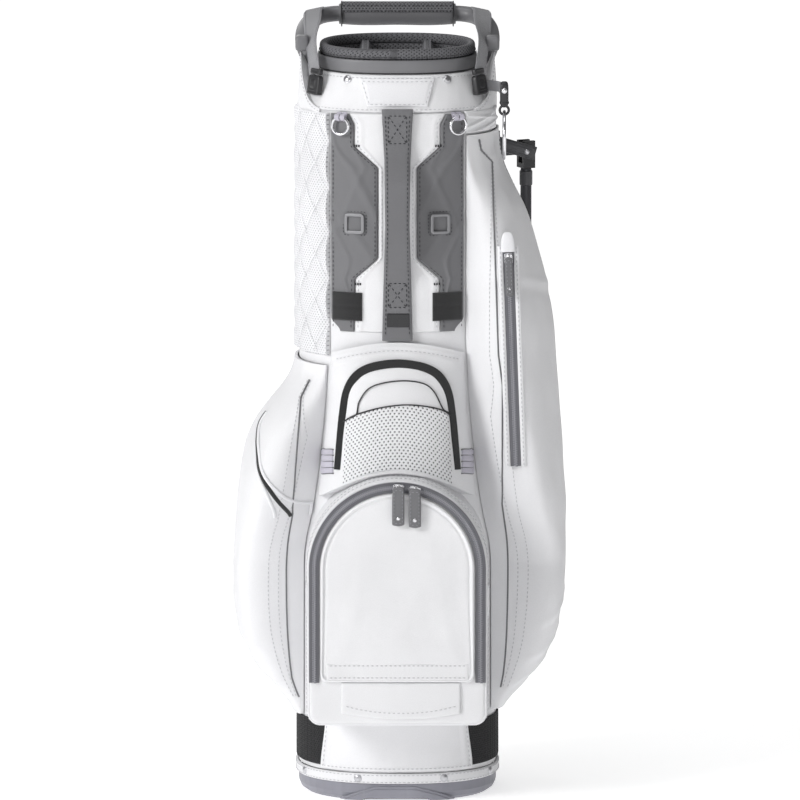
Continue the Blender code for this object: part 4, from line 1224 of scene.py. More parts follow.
@dataclass
class Yoke:
    """The white band under the cuff with its blank sewn patch and dome rivets."""

    z: tuple[float, float] = (0.8035, 0.8445)
    turns: tuple[float, float] = (-150.0, 95.0)
    patch_z: tuple[float, float] = (0.81, 0.841)
    patch_half: tuple[float, float] = (0.034, 0.042)
    rivet_x: float = 0.056

    def build(self) -> None:
        """Makes the pieces."""
        low, high = self.z

        def band(u: Array, v: Array) -> Array:
            """A stretch of the shoulder above the panels."""
            return BODY.at(np.radians(lerp(*self.turns, u)), lerp(low, high, v), GAP)
        wave = sheet_shape(band, (170, 0.006), (20, 0.05), 0.0016, 0.0018,
                           lambda u, v: 0.0004 * crinkle(u * 50, v * 5, 2.0))
        piece("yoke", wave, Finish.WHITE, replaces=["yoke_panel"])
        turn = np.radians(np.linspace(self.turns[0] + 2, self.turns[1] - 2, 300))
        rows = [seam(BODY.at(turn, z + 0 * turn, GAP), 0.0018) for z in (low + 0.0032, high - 0.003)]

        def half(z: Array) -> Array:
            """The patch's half width."""
            return np.interp(z, self.patch_z, self.patch_half)
        patch = area(lambda z: -half(z), half, *self.patch_z, GAP + 0.0017)

        def crown(u: Array, v: Array) -> Array:
            """The patch's rise inside its seam."""
            return 0.0007 * smooth(np.minimum(np.minimum(u, 1 - u) * 2.6, np.minimum(v, 1 - v)), 0.1, 0.22)
        piece("yoke_patch", sheet_shape(patch, (70, 0.03), (26, 0.06), 0.0022, 0.0016, crown),
              Finish.WHITE_SOFT, replaces=["emblem_patch"])
        (z0, z1), (w0, w1) = self.patch_z, self.patch_half
        inset = 0.003
        corners = [(-w0 + inset, z0 + inset), (w0 - inset, z0 + inset),
                   (w1 - inset, z1 - inset), (-w1 + inset, z1 - inset)]
        for start, end in zip(corners, corners[1:] + corners[:1]):
            rows.append(seam(line(start, end, GAP + 0.0017), 0.0023))
        piece("yoke_stitches", rows, Finish.SHADED_WHITE_THREAD)
        places = [BODY.frame(float(BODY.turn(x, 0.838)), 0.838, GAP + 0.0018) for x in (-self.rivet_x,
                                                                                        self.rivet_x)]
        piece("yoke_rivets", [dome(place, 0.005, 0.0024) for place in places], Finish.DULL_STEEL)
        turns = (float(BODY.turn(0.0765, 0.79)), math.radians(78.0))

        def gusset(u: Array, v: Array) -> Array:
            """The soft leather between the right gray panel and the garment pocket."""
            return BODY.at(lerp(*turns, u), lerp(0.777, 0.803, v), GAP)

        def creases(u: Array, v: Array) -> Array:
            """Three slanting folds."""
            total = bell(v - u * 0.7, 0.25, 0.07) + bell(v - u * 0.5, -0.05, 0.06) + bell(v + u * 0.3, 0.8, 0.06)
            return 0.0016 * total
        piece("shoulder_gusset", sheet_shape(gusset, (50, 0.03), (26, 0.06), 0.0022, 0.002, creases),
              Finish.WHITE)


@dataclass
class FrontPanels:
    """The quilted panel, the gray side panels, the white centre panel, frames, rings and loops."""

    neck: Rows = (
        (0.549, 0.049), (0.611, 0.048), (0.635, 0.022), (0.74, 0.022), (0.764, 0.049), (0.79, 0.049),
        (0.801, 0.055),
    )
    panel_z: tuple[float, float] = (0.549, 0.801)
    quilt_z: tuple[float, float] = (0.519, 0.801)
    diamond: tuple[float, float] = (0.044, 0.053)
    side_x: float = 0.075
    frame_place: tuple[float, float] = (0.048, 0.675)
    ring_x: tuple[float, float] = (-0.062, 0.066)
    ring_z: float = 0.798

    def build(self) -> None:
        """Makes the pieces."""
        self.quilt()
        self.gray_panels()
        self.centre()
        self.fittings()
        for name, x in zip(("left", "right"), self.ring_x):
            self.ring(name, x)

    def neck_half(self, z: Array) -> Array:
        """The half width of the white strip, its corners softened by a short average."""
        return softened(self.neck, z, 0.0022)

    def quilt(self) -> None:
        """The quilted panel: puffed diamonds between two crossed families of sewn lines.

        The height is a * (|sin(pi p)| |sin(pi q)|)^0.5, where p and q count the lines that run
        up to the right and up to the left.
        """
        low, high = self.quilt_z
        wide, tall = self.diamond

        def at(s: Array, z: Array, out: float = GAP) -> Array:
            """The point a share s back from the panel's front edge."""
            turn = lerp(math.radians(-120.0), BODY.turn(-0.077, z), s)
            return BODY.at(turn, z, out)
        span = float(lengths(at(np.linspace(0, 1, 60)[None] * np.ones((2, 1)), np.full((2, 60), 0.66)), 1)[0, -1])

        def puff(u: Array, v: Array) -> Array:
            """The diamonds' height."""
            p = u * span / wide + lerp(low, high, v) / tall
            q = u * span / wide - lerp(low, high, v) / tall
            return 0.0046 * (np.abs(np.sin(math.pi * p)) * np.abs(np.sin(math.pi * q))) ** 0.5
        shape = sheet_shape(lambda u, v: at(u, lerp(low, high, v)), (130, 0.02), (250, 0.008),
                            0.0012, 0.002, puff)
        piece("quilted_side", shape, Finish.QUILT, replaces=["quilted_panel"])
        rows = []
        for sign in (1, -1):
            for k in range(-12, 24):
                z = np.linspace(low + 0.004, high - 0.004, 160)
                u = (k - sign * z / tall) * wide / span
                inside = (u > 0.02) & (u < 0.98)
                if inside.sum() > 8:
                    rows.append(seam(at(u[inside], z[inside], GAP + 0.0012), 0.0003, length=0.0028, gap=0.0014))
        piece("quilt_stitches", rows, Finish.SHADED_WHITE_THREAD, slot="white_quilted")

    def gray_panels(self) -> None:
        """The two gray panels: soft diagonal folds, turned edges and sewn borders."""
        low, high = self.panel_z
        rows = []
        for side, name in SIDES:
            def panel(u: Array, v: Array, side: int = side) -> Array:
                """Between the white strip and the panel's outer edge."""
                z = lerp(low, high, v)
                u = u if side > 0 else 1 - u
                outer = self.side_x - 0.01 * (1 - smooth(z, low, low + 0.016))
                return BODY.front(side * lerp(self.neck_half(z), outer, u), z, GAP)

            def folds(u: Array, v: Array, side: int = side) -> Array:
                """Ridges that run down and outwards from the ring and across the waist."""
                w = u if side > 0 else 1 - u
                total = bell(v - 0.42 * w, 0.52, 0.045) + 0.7 * bell(v - 0.3 * w, 0.3, 0.035)
                total += 0.6 * bell(v + 0.5 * w, 0.9, 0.04) + 0.9 * bell(v - 0.45 * w, 0.06, 0.03)
                return 0.0015 * total + 0.0005 * crinkle(u * 3 + side, v * 7, 4.0 + side)
            shape = sheet_shape(panel, (50, 0.03), (170, 0.008), 0.0022, 0.0018, folds)
            piece(f"gray_panel_{name}", shape, Finish.GRAY, replaces=[f"side_panel_{name}"])
            z = np.linspace(low + 0.004, high - 0.004, 260)
            inner = self.neck_half(z) + 0.0032
            rows.append(seam(BODY.front(side * inner, z, GAP), 0.0025))
            rows.append(seam(BODY.front(side * (self.side_x - 0.0032 + 0 * z), z, GAP), 0.0025))
            for x, height in ((0.0454, 0.765), (0.044, 0.605)):
                for offset in np.linspace(-0.001, 0.001, 4):
                    tack = line((side * x - 0.004, height + offset), (side * x + 0.004, height + offset),
                                GAP + 0.0026)
                    rows.append(seam(tack, 0.0, length=0.0022, gap=0.0001, radius=0.0004))
        piece("gray_panel_stitches", rows, Finish.GRAY_THREAD)

    def centre(self) -> None:
        """The white strip between the gray panels, its edges folded and sewn."""
        surface = area(lambda z: -self.neck_half(z) + 0.001, lambda z: self.neck_half(z) - 0.001, 0.549, 0.802)

        def folds(u: Array, v: Array) -> Array:
            """A raised fold along each side and faint cross wrinkles."""
            return 0.0009 * (bell(u, 0.07, 0.03) + bell(u, 0.93, 0.03)) + 0.0003 * crinkle(u * 4, v * 30, 7.0)
        piece("centre_panel", sheet_shape(surface, (50, 0.03), (170, 0.01), 0.0014, 0.0016, folds),
              Finish.WHITE)
        z = np.linspace(0.553, 0.798, 260)
        rows = [seam(BODY.front(side * (self.neck_half(z) - 0.0045), z, GAP), 0.0016) for side in (-1, 1)]
        piece("centre_stitches", rows, Finish.SHADED_WHITE_THREAD)

    def fittings(self) -> None:
        """The square frames with a ring of stitches round each, and the black webbing loops."""
        x0, z0 = self.frame_place
        for side, name in SIDES:
            place = BODY.frame(float(BODY.turn(side * x0, z0)), z0, 0.0052)
            square = oval(0.01, 0.01, 72, 9.0)
            path = np.concatenate([square, np.zeros((72, 1))], axis=1)
            frame_shape = swept(path, oval(0.002, 0.0013, 14, 3.5), UP, closed=True)
            piece(f"metal_frame_{name}", frame_shape.moved(place), Finish.FRAME_STEEL,
                  replaces=[f"square_frame_{name}"])
            ring = np.concatenate([oval(0.0138, 0.0138, 96, 7.0), np.full((96, 1), -0.0018)], axis=1)
            around = stitches(ring, np.tile([0.0, 0.0, 1.0], (96, 1)), 0.0024, 0.0014, 0.00042, closed=True)
            piece(f"frame_stitches_{name}", around.moved(place), Finish.GRAY_THREAD)

            def loop(u: Array, v: Array, side: int = side) -> Array:
                """The webbing's stretch of the front."""
                u = u if side > 0 else 1 - u
                return BODY.front(side * lerp(0.039, 0.072, u), lerp(0.562, 0.595, v), GAP + 0.0028)
            shape = sheet_shape(loop, (44, 0.05), (30, 0.05), 0.0022, 0.002,
                                lambda u, v: 0.0009 * np.sin(math.pi * u) - 0.0006 * bell(v, 0.5, 0.08))
            piece(f"webbing_loop_{name}", shape, Finish.BLACK_WEB, replaces=[f"strap_loop_{name}"])

    def ring(self, name: str, x: float) -> None:
        """A steel ring and the two pale webbing loops that it hangs in."""
        place = BODY.frame(float(BODY.turn(x, self.ring_z)), self.ring_z, 0.009)
        shape = ring_shape(0.01, 0.0016, 72, 16).shifted(0.0, -0.01, 0.0)
        piece(f"wire_ring_{name}", shape.moved(place), Finish.STEEL, f"ring_{name}_body",
              replaces=[f"ring_{name}"])
        angle = np.radians(np.linspace(-70.0, 225.0, 26))
        loops = []
        for offset in (-0.0034, 0.0034):
            around = xyz(offset + 0 * angle, 0.0031 * np.sin(angle), 0.0031 * np.cos(angle))
            ends = [np.array([[offset, -0.005, -0.0062]]), np.array([[offset, 0.005, -0.0062]])]
            path = even_path(np.concatenate([ends[0], around, ends[1]]), 44)
            loops.append(swept(path, oval(0.003, 0.0006, 14, 4.0), unit(path * [0, 1, 1] + [0, 0, 0.002])))
        piece(f"ring_webbing_{name}", Shape.joined(loops).moved(place), Finish.LILAC_WEB,
              replaces=[f"ring_loop_{name}"])


@dataclass
class SpineHandle:
    """The gray carry handle down the centre, sewn at both ends, with a blank label below."""

    rise: Rows = (
        (0.54, 0.0018), (0.605, 0.0018), (0.625, 0.008), (0.65, 0.02), (0.728, 0.02), (0.75, 0.008),
        (0.771, 0.0022), (0.808, 0.005),
    )
    half_width: Rows = (
        (0.54, 0.0175), (0.605, 0.016), (0.675, 0.014), (0.75, 0.015), (0.808, 0.018),
    )
    half_thick: float = 0.0025

    def build(self) -> None:
        """Makes the strap, its stitches and the label."""
        z = np.linspace(0.54, 0.808, 120)
        offsets = np.linspace(-0.006, 0.006, 7)
        rise = np.mean([np.interp(z + offset, *zip(*self.rise)) for offset in offsets], axis=0)
        width = np.interp(z, *zip(*self.half_width))
        y = BODY.at(0 * z, z)[:, 1] - GAP - rise - self.half_thick
        path = xyz(0 * z, y, z)
        front = FRONT
        scale = np.stack([width, np.ones_like(width)], axis=1)
        profile = oval(1.0, self.half_thick, 34, 4.0)
        piece("spine_strap", swept(path, profile, front, scale=scale), Finish.STRAP_GRAY,
              replaces=["spine_handle"])
        _, side, out = frames_along(path, front)
        rows = [seam((path + side * (width * share)[:, None])[3:-3] + out[3:-3] * (self.half_thick + 0.0001),
                     outward=out[3:-3]) for share in (-0.8, 0.8)]
        for low, high in ((0.769, 0.801), (0.579, 0.607)):
            corner = [(-0.0105, low), (0.0105, low), (0.0105, high), (-0.0105, high)]
            runs = list(zip(corner, corner[1:] + corner[:1])) + [(corner[0], corner[2]), (corner[1], corner[3])]
            for (x0, z0), (x1, z1) in runs:
                zs = np.linspace(z0, z1, 30)
                ys = np.interp(zs, z, y) - self.half_thick - 0.0001
                rows.append(seam(xyz(np.linspace(x0, x1, 30), ys, zs), outward=front))
        piece("spine_stitches", rows, Finish.GRAY_THREAD)

        def label(u: Array, v: Array) -> Array:
            """A small plate on the strap's foot."""
            zs = lerp(0.556, 0.572, v)
            return xyz(lerp(-0.012, 0.014, u), np.interp(zs, z, y) - self.half_thick, zs)
        piece("blank_label", sheet_shape(label, (24, 0.05), (16, 0.07), 0.0011, 0.001), Finish.LABEL)


@dataclass
class AccessoryPocket:
    """The bulging pocket on the spine: shell, webbing arch, piping, perforated window and ribs."""

    half: Rows = ((0.345, 0.091), (0.39, 0.086), (0.46, 0.079), (0.538, 0.0745))
    depth: Rows = (
        (0.345, 0.048), (0.39, 0.044), (0.45, 0.034), (0.5, 0.022), (0.54, 0.005),
    )
    top: float = 0.538
    trim: Rows = (
        (0.0675, 0.393), (0.065, 0.424), (0.062, 0.455), (0.0575, 0.482), (0.048, 0.5), (0.033, 0.51),
        (0.011, 0.5148),
    )
    window_top: Rows = (
        (-0.062, 0.448), (-0.047, 0.4575), (-0.02, 0.466), (0.01, 0.4695), (0.035, 0.467),
        (0.0518, 0.462), (0.062, 0.454),
    )
    piping: Rows = (
        (-0.057, 0.452), (-0.047, 0.4575), (-0.0436, 0.472), (-0.033, 0.487), (-0.0157, 0.494),
        (0.0087, 0.4965), (0.03, 0.493), (0.042, 0.483), (0.0518, 0.464), (0.058, 0.459),
    )

    def half_at(self, z: Array) -> Array:
        """The half width at a height."""
        return np.interp(z, *zip(*self.half))

    def face(self, x: Array, z: Array, out: float = 0.0) -> Array:
        """A point of the front: it stands off by least + (depth - least) * sqrt(1 - share^4)."""
        depth = np.interp(z, *zip(*self.depth))
        share = np.clip(np.abs(x) / self.half_at(z), 0.0, 1.0)
        bulge = 0.003 + (depth - 0.003) * np.sqrt(np.clip(1 - share ** 4, 0.0, 1.0))
        points = BODY.front(x, z, GAP)
        points[..., 1] -= bulge + out
        return points

    def low_at(self, x: Array) -> Array:
        """The height just over the ball pocket's round top."""
        return 0.2885 + np.sqrt(np.clip(0.1035 ** 2 - x ** 2, 0.0, None))

    def build(self) -> None:
        """Makes the pieces."""
        across = np.linspace(-1, 1, 111)
        share = np.sin(across * math.pi / 2)
        up = spaced(90, 0.02)
        s, v = np.meshgrid(share, up)
        z = lerp(self.low_at(s * self.half_at(0.46)), self.top - 0.014 * s ** 2, v)
        x = s * self.half_at(z)
        lift = 0.001 * crinkle(x * 70, z * 45, 6.0) * smooth(1 - np.abs(s), 0.0, 0.2)
        fold = 0.0016 * bell(v, 0.965, 0.012) + 0.0012 * bell(v, 0.92, 0.01)
        outer = self.face(x, z)
        outer[..., 1] -= lift * 0.7 + fold * smooth(1 - np.abs(s), 0.0, 0.06)
        inner = BODY.front(x, z, GAP + 0.0002)
        rings = np.concatenate([outer, inner[:, ::-1]], axis=1)
        piece("pocket_shell", loft(rings, closed_ends=True), Finish.WHITE, replaces=["accessory_pocket"])
        self.arch()
        self.window()
        self.ribs()

    def run(self, points: Sequence[tuple[float, float]], out: float, count: int = 160) -> Array:
        """A smooth run through (x, z) points, laid on the pocket's front."""
        flat = smooth_path([(x, z, 0.0) for x, z in points], count)
        return self.face(flat[:, 0], flat[:, 1], out)

    def arch(self) -> None:
        """The black webbing arch, its stitches and the thin piping inside it."""
        out = FRONT
        half = list(self.trim)
        whole = [(-x, z) for x, z in half] + [(x, z) for x, z in reversed(half)]
        piece("arch_webbing", swept(self.run(whole, 0.0016, 240), oval(0.005, 0.0012, 20, 4.5), out),
              Finish.BLACK_WEB, replaces=["accessory_trim"])
        thin = [swept(self.run(points, 0.0012), oval(0.0008, 0.0009, 10), out)
                for points in (self.piping, self.window_top)]
        piece("window_piping", thin, Finish.BLACK_PLASTIC, slot="gray_leather")
        s = np.linspace(-0.93, 0.93, 160)
        z = self.top - 0.014 * s ** 2 - 0.0085
        rows = [seam(self.face(s * self.half_at(z), z, 0.0012), outward=out)]
        piece("pocket_stitches", rows, Finish.SHADED_WHITE_THREAD)

    def window(self) -> None:
        """The perforated panel, its top edge on the lower run of piping."""

        def surface(u: Array, v: Array) -> Array:
            """Between the ball pocket's top and the piping."""
            x = lerp(-0.06, 0.06, u)
            z = lerp(self.low_at(x) + 0.004, np.interp(x, *zip(*self.window_top)), v)
            return self.face(x * np.interp(z, (0.39, 0.46), (1.03, 0.96)), z, 0.0002)
        piece("pocket_window", sheet_shape(surface, (70, 0.02), (50, 0.02), 0.0011, 0.0014), Finish.WINDOW)

    def ribs(self) -> None:
        """The ribbed pale elastic beside the arch's feet, between darker cords that sag outwards."""
        cords = []
        for side, name in SIDES:
            def at(u: Array, v: Array, out: float, side: int = side) -> Array:
                """From the arch's foot outwards, lower as it goes out."""
                return self.face(side * lerp(0.073, 0.0865, u), lerp(0.387, 0.415, v) - 0.0055 * u ** 1.6, out)

            def surface(u: Array, v: Array, side: int = side, at: Any = at) -> Array:
                """The patch with its edges in order."""
                return at(u if side > 0 else 1 - u, v, 0.0003)
            ridges = sheet_shape(surface, (24, 0.05), (96, 0.02), 0.0009, 0.001,
                                 lambda u, v: 0.001 * np.abs(np.sin(v * math.pi * 4)))
            piece(f"pocket_ribs_{name}", ridges, Finish.LILAC_WEB)
            u = np.linspace(0.0, 1.0, 30)
            cords += [swept(at(u, share + 0 * u, 0.0012), oval(0.0009, 0.0009, 8), FRONT)
                      for share in (0.02, 0.25, 0.5, 0.75, 0.98)]
        piece("pocket_rib_cords", cords, Finish.GRAY)


@dataclass
class BallPocket:
    """The big round-topped pocket: shell, puffed door, coil zip, pulls, flap and tabs."""

    centre_z: float = 0.2865
    radius: float = 0.1035
    foot: float = 0.104
    front: float = -0.186
    door_radius: float = 0.0889
    door_foot: float = 0.155
    zip_radius: float = 0.0955
    rim: float = 0.007
    slider_x: tuple[float, float] = (0.001, 0.02)

    def outline(self, radius: float, foot: float, corner: float, count: int = 220) -> Array:
        """Even (x, z) points of a round-topped outline with rounded lower corners, closed."""
        angle = np.linspace(0, math.pi, 90)
        top = np.stack([radius * np.cos(angle), self.centre_z + radius * np.sin(angle)], axis=1)
        quarter = np.linspace(math.pi, 1.5 * math.pi, 16)
        left = np.stack([-radius + corner + corner * np.cos(quarter), foot + corner + corner * np.sin(quarter)],
                        axis=1)
        right = np.stack([-left[::-1, 0], left[::-1, 1]], axis=1)
        loop = np.concatenate([top, left, right, top[:1]])
        loop3 = even_path(np.concatenate([loop, np.zeros((len(loop), 1))], axis=1), count + 1)
        return loop3[:-1, :2]

    def build(self) -> None:
        """Makes the pieces."""
        self.shell()
        self.door()
        self.zip()
        for name, x in zip(("left", "right"), self.slider_x):
            self.slider(name, x)
        self.lower_front()

    def shell(self) -> None:
        """The pocket's box: rings of its outline run from the tube to the front, then in to a flat face."""
        loop = self.outline(self.radius, self.foot, 0.015)
        centre = np.array([0.0, self.centre_z - 0.03])
        normal = unit(np.stack([np.roll(loop[:, 1], -1) - np.roll(loop[:, 1], 1),
                                np.roll(loop[:, 0], 1) - np.roll(loop[:, 0], -1)], axis=1))
        back = BODY.front(loop[:, 0], loop[:, 1], GAP + 0.0003)[:, 1]
        rings = []
        for share in np.linspace(0, 1, 34):
            y = lerp(back, self.front + self.rim, share)
            sag = 0.0014 * crinkle(loop[:, 0] * 60 + share * 4, loop[:, 1] * 50, 8.0) * math.sin(math.pi * share)
            fold = 0.0012 * bell(share, 0.93, 0.03) - 0.0008 * bell(share, 0.86, 0.03)
            at = loop + normal * (sag + fold - 0.001)[:, None]
            rings.append(xyz(at[:, 0], y, at[:, 1]))
        for angle in np.linspace(0, math.pi / 2, 8):
            at = loop - normal * self.rim * (1 - math.cos(angle))
            rings.append(xyz(at[:, 0], self.front + self.rim * (1 - math.sin(angle)), at[:, 1]))
        for share in (0.9, 0.6, 0.3):
            at = centre + (loop - normal * self.rim - centre) * share
            rings.append(xyz(at[:, 0], self.front + 0.0001, at[:, 1]))
        piece("ball_pocket_shell", loft(np.stack(rings), closed_ends=True), Finish.WHITE, replaces=["ball_pocket"])
        edge = loop - normal * 0.0018
        path = xyz(edge[:, 0], self.front + 0.0026, edge[:, 1])
        out = unit(xyz(normal[:, 0], -np.ones(len(loop)), normal[:, 1]))
        piece("ball_pocket_piping", swept(path, oval(0.0014, 0.0014, 12), out, closed=True), Finish.WHITE_SOFT)
        rows = []
        at = loop + normal * 0.0004
        for behind in (0.0125, 0.031):
            seam_path = xyz(at[:, 0], self.front + behind, at[:, 1])
            rows.append(stitches(seam_path, xyz(normal[:, 0], 0 * at[:, 0], normal[:, 1]), closed=True))
        piece("ball_pocket_stitches", rows, Finish.SHADED_WHITE_THREAD)

    def door(self) -> None:
        """The puffed front panel: height a * (1 - share^6) plus a fold just inside its edge."""
        loop = self.outline(self.door_radius, self.door_foot, 0.008)
        centre = np.array([0.0, 0.27])
        shares = np.concatenate([np.linspace(0.04, 0.9, 30), np.linspace(0.915, 1.0, 12)])
        rings = [xyz(loop[:, 0], self.front - 0.0004, loop[:, 1])]
        for share in shares[::-1]:
            at = centre + (loop - centre) * share
            inside = (1 - share) * np.linalg.norm(loop - centre, axis=1)
            height = 0.0036 * np.sqrt(np.clip(1 - (1 - np.clip(inside / 0.0022, 0, 1)) ** 2, 0, 1))
            height += 0.0012 * bell(inside, 0.003, 0.0014) - 0.0011 * bell(inside, 0.0062, 0.0014)
            height += 0.0024 * smooth(inside, 0.006, 0.05)
            height += 0.0005 * crinkle(at[:, 0] * 60, at[:, 1] * 50, 2.0) * smooth(inside, 0, 0.02)
            rings.append(xyz(at[:, 0], self.front - 0.0006 - height, at[:, 1]))
        piece("ball_pocket_door", loft(np.stack(rings), closed_ends=True), Finish.WHITE,
              replaces=["ball_front_panel"])
        out = FRONT

        def hem(u: Array, v: Array) -> Array:
            """The door's turned lower hem."""
            x = lerp(-0.0815, 0.0815, u)
            return xyz(x, self.front - 0.0042, lerp(0.1585, 0.1775, v))
        piece("door_hem", sheet_shape(hem, (80, 0.01), (16, 0.06), 0.001, 0.0018), Finish.WHITE)
        x = np.linspace(-0.079, 0.079, 120)
        rows = [seam(xyz(x, self.front - 0.0053, z), outward=out) for z in (0.1612, 0.1752)]
        piece("door_stitches", rows, Finish.SHADED_WHITE_THREAD)

    def zip(self) -> None:
        """The zip's tape and its two rows of coil: each turn a small bent loop of thread."""
        foot, radius = self.door_foot, self.zip_radius
        angle = np.linspace(0, math.pi, 160)
        arch = xyz(radius * np.cos(angle), self.front - 0.0016, self.centre_z + radius * np.sin(angle))
        down = np.linspace(self.centre_z, foot, 60)[1:]
        leg = xyz(-radius, self.front - 0.0016, down)
        right = leg[::-1] * [-1, 1, 1]
        path = np.concatenate([right, arch, leg])
        out = FRONT
        piece("door_zip_tape", swept(path, oval(0.006, 0.0008, 16, 5.0), out), Finish.ZIP_TAPE,
              replaces=["ball_zipper"])
        piece("door_zip_coil", coil(path, np.tile(out, (len(path), 1)), 0.001), Finish.COIL)

    def slider(self, name: str, x: float) -> None:
        """A slider and its leather pull, on their own bodies."""
        angle = math.asin(x / self.zip_radius)
        z = self.centre_z + self.zip_radius * math.cos(angle)
        front = self.front - 0.0036
        place = placed((x, front - 0.0032, z), (math.cos(angle), 0, -math.sin(angle)), (0, -1, 0))
        piece(f"zip_slider_{name}", slider_shape(0.013, 0.009, 0.006).moved(place), Finish.STEEL,
              f"ball_slider_{name}_body", replaces=[f"ball_slider_{name}"])
        pivot = placed((x, front - 0.0082, z + 0.0015), (1, 0, 0), (0, -1, 0))
        pull_pieces(f"zip_pull_{name}", pivot, 0.014, f"ball_pull_{name}_body", f"ball_pull_{name}")

    def lower_front(self) -> None:
        """The stitched flap below the door and the side tabs."""

        def flap(u: Array, v: Array) -> Array:
            """The flap on the pocket's flat front, its foot curving up to both sides."""
            x = lerp(-0.0646, 0.0727, u)
            low = 0.112 + 0.007 * np.clip(np.abs(x - 0.004) / 0.069, 0, 1) ** 2.2
            return xyz(x, self.front - 0.0001, lerp(low, 0.155, v))
        piece("pocket_flap", sheet_shape(flap, (80, 0.02), (18, 0.06), 0.003, 0.0022,
                                         lambda u, v: 0.0008 * np.sin(math.pi * u)), Finish.WHITE)
        out = FRONT
        x = np.linspace(-0.06, 0.068, 120)
        smile = 0.1195 + 0.0085 * np.abs((x - 0.004) / 0.064) ** 2.2
        rows = [seam(xyz(x, self.front - 0.0036, smile), outward=out)]
        piece("lower_stitches", rows, Finish.SHADED_WHITE_THREAD)
        for side, name in SIDES:
            path = xyz(side * 0.104, self.front + 0.03 + np.linspace(-0.028, 0.026, 30), 0.25)
            away = np.array([side, 0.0, 0.0])
            tab = swept(path, oval(0.018, 0.0013, 24, 4.0), away)
            piece(f"side_tab_{name}", tab, Finish.WHITE_SOFT)
            rows = [seam(path + away * 0.0014 + [0, 0, dz], outward=away) for dz in (-0.0145, 0.0145)]
            piece(f"side_tab_stitches_{name}", rows, Finish.SHADED_WHITE_THREAD)


def coil(path: Array, outward: Array, lift: float, pitch: float = 0.0021, reach: float = 0.0024) -> Shape:
    """Two interlocked rows of coil along a path.

    Each turn is a short bent bar across half of the zip: it leaves at the edge, bows outwards and
    ends past the middle line.

    Args:
        path: The zip's middle line.
        outward: The outward direction at each point.
        lift: How far the turns stand above the path.
        pitch: The distance between two turns of a row.
        reach: How far a turn reaches to its side.

    Returns:
        All the turns as one shape.
    """
    count = int(path_length(path) / pitch)
    centre = even_path(path, count * 2)
    run = np.linspace(0, 1, len(path))
    out = unit(np.stack([np.interp(np.linspace(0, 1, count * 2), run, outward[:, k]) for k in range(3)], axis=1))
    _, side, out = frames_along(centre, out)
    tangent = unit(np.cross(out, side))
    sign = np.where(np.arange(count * 2) % 2 == 0, 1.0, -1.0)[:, None, None]
    share = np.linspace(-0.25, 1.0, 6)[None, :, None]
    height = (lift + 0.0007 * np.sin(math.pi * np.clip(share, 0.0, 1.0)))
    spine = centre[:, None] + side[:, None] * (sign * share * reach) + out[:, None] * height
    angle = circle(6)
    ring = (tangent[:, None, None] * np.cos(angle)[:, None] + out[:, None, None] * np.sin(angle)[:,
                                                                                                 None]) * 0.00062
    points = (spine[:, :, None] + ring).reshape(-1, 3)
    one = quads(6, 6, False, True)
    starts = (np.arange(count * 2) * 36)[:, None, None]
    ends = np.stack([np.arange(6)[::-1], np.arange(6) + 30])
    return Shape(points, [(one[None] + starts).reshape(-1, 4), (ends[None] + starts).reshape(-1, 6)],
                 np.zeros((len(points), 2)))


def slider_shape(wide: float, tall: float, thick: float) -> Shape:
    """A zip slider: a waisted plate, a raised bridge over it and side lips, in local XY, Z out."""
    plate = ball_box((wide, tall, thick * 0.42), 3.4, 32, 13)
    plate.points[:, 0] *= 1 - 0.16 * smooth(-plate.points[:, 1] / tall, 0.0, 0.5)
    plate.points[:, 2] -= thick * 0.2
    bridge = ball_box((wide * 0.34, tall * 0.94, thick * 0.62), 3.0, 24, 13)
    bridge.points[:, 2] += thick * 0.12
    lips = [ball_box((wide * 0.12, tall * 0.9, thick * 0.6), 3.0, 16, 11) for _ in range(2)]
    for lip, side in zip(lips, (-1, 1)):
        lip.points[:, 0] += side * wide * 0.42
        lip.points[:, 2] -= thick * 0.12
    return Shape.joined([plate, bridge, *lips])


def pull_pieces(name: str, pivot: Array, wide: float, body: str, node: str, length: float = 0.0445) -> None:
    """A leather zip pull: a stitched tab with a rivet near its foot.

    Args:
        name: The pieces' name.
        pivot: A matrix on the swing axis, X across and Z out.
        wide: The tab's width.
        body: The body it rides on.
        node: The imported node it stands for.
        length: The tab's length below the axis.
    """
    count = 50
    y = np.linspace(0.0012, -length, count)
    path = xyz(0 * y, y, 0 * y)
    end = np.sqrt(np.clip(1 - np.clip((np.abs(np.linspace(-1, 1, count)) - 0.9) / 0.1, 0, 1) ** 2, 0.04, 1))
    neck = 1 - 0.1 * bell(np.linspace(0, 1, count), 0.0, 0.2)
    scale = np.stack([end * neck, 0.6 + 0.4 * end], axis=1)
    out = UP
    tab = swept(path, oval(wide / 2, 0.0014, 24, 4.0), out, scale=scale)
    piece(name, tab.moved(pivot), Finish.STRAP_GRAY, body, replaces=[node])
    inset = wide / 2 - 0.0022
    corners = [(-inset, -0.003), (-inset, -length + 0.0035), (inset, -length + 0.0035), (inset, -0.003)]
    rows = []
    for (x0, y0), (x1, y1) in zip(corners, corners[1:] + corners[:1]):
        rows.append(seam(xyz(np.linspace(x0, x1, 20), np.linspace(y0, y1, 20), 0.0014),
                         outward=out, length=0.0026, gap=0.0016, radius=0.00038))
    piece(f"{name}_stitches", Shape.joined(rows).moved(pivot), Finish.LIGHT_THREAD, body)
    rivet = placed((0, -length + 0.009, 0.0014), (1, 0, 0), (0, 0, 1))
    piece(f"{name}_rivet", dome(pivot @ rivet, wide * 0.16, 0.001), Finish.STEEL, body)


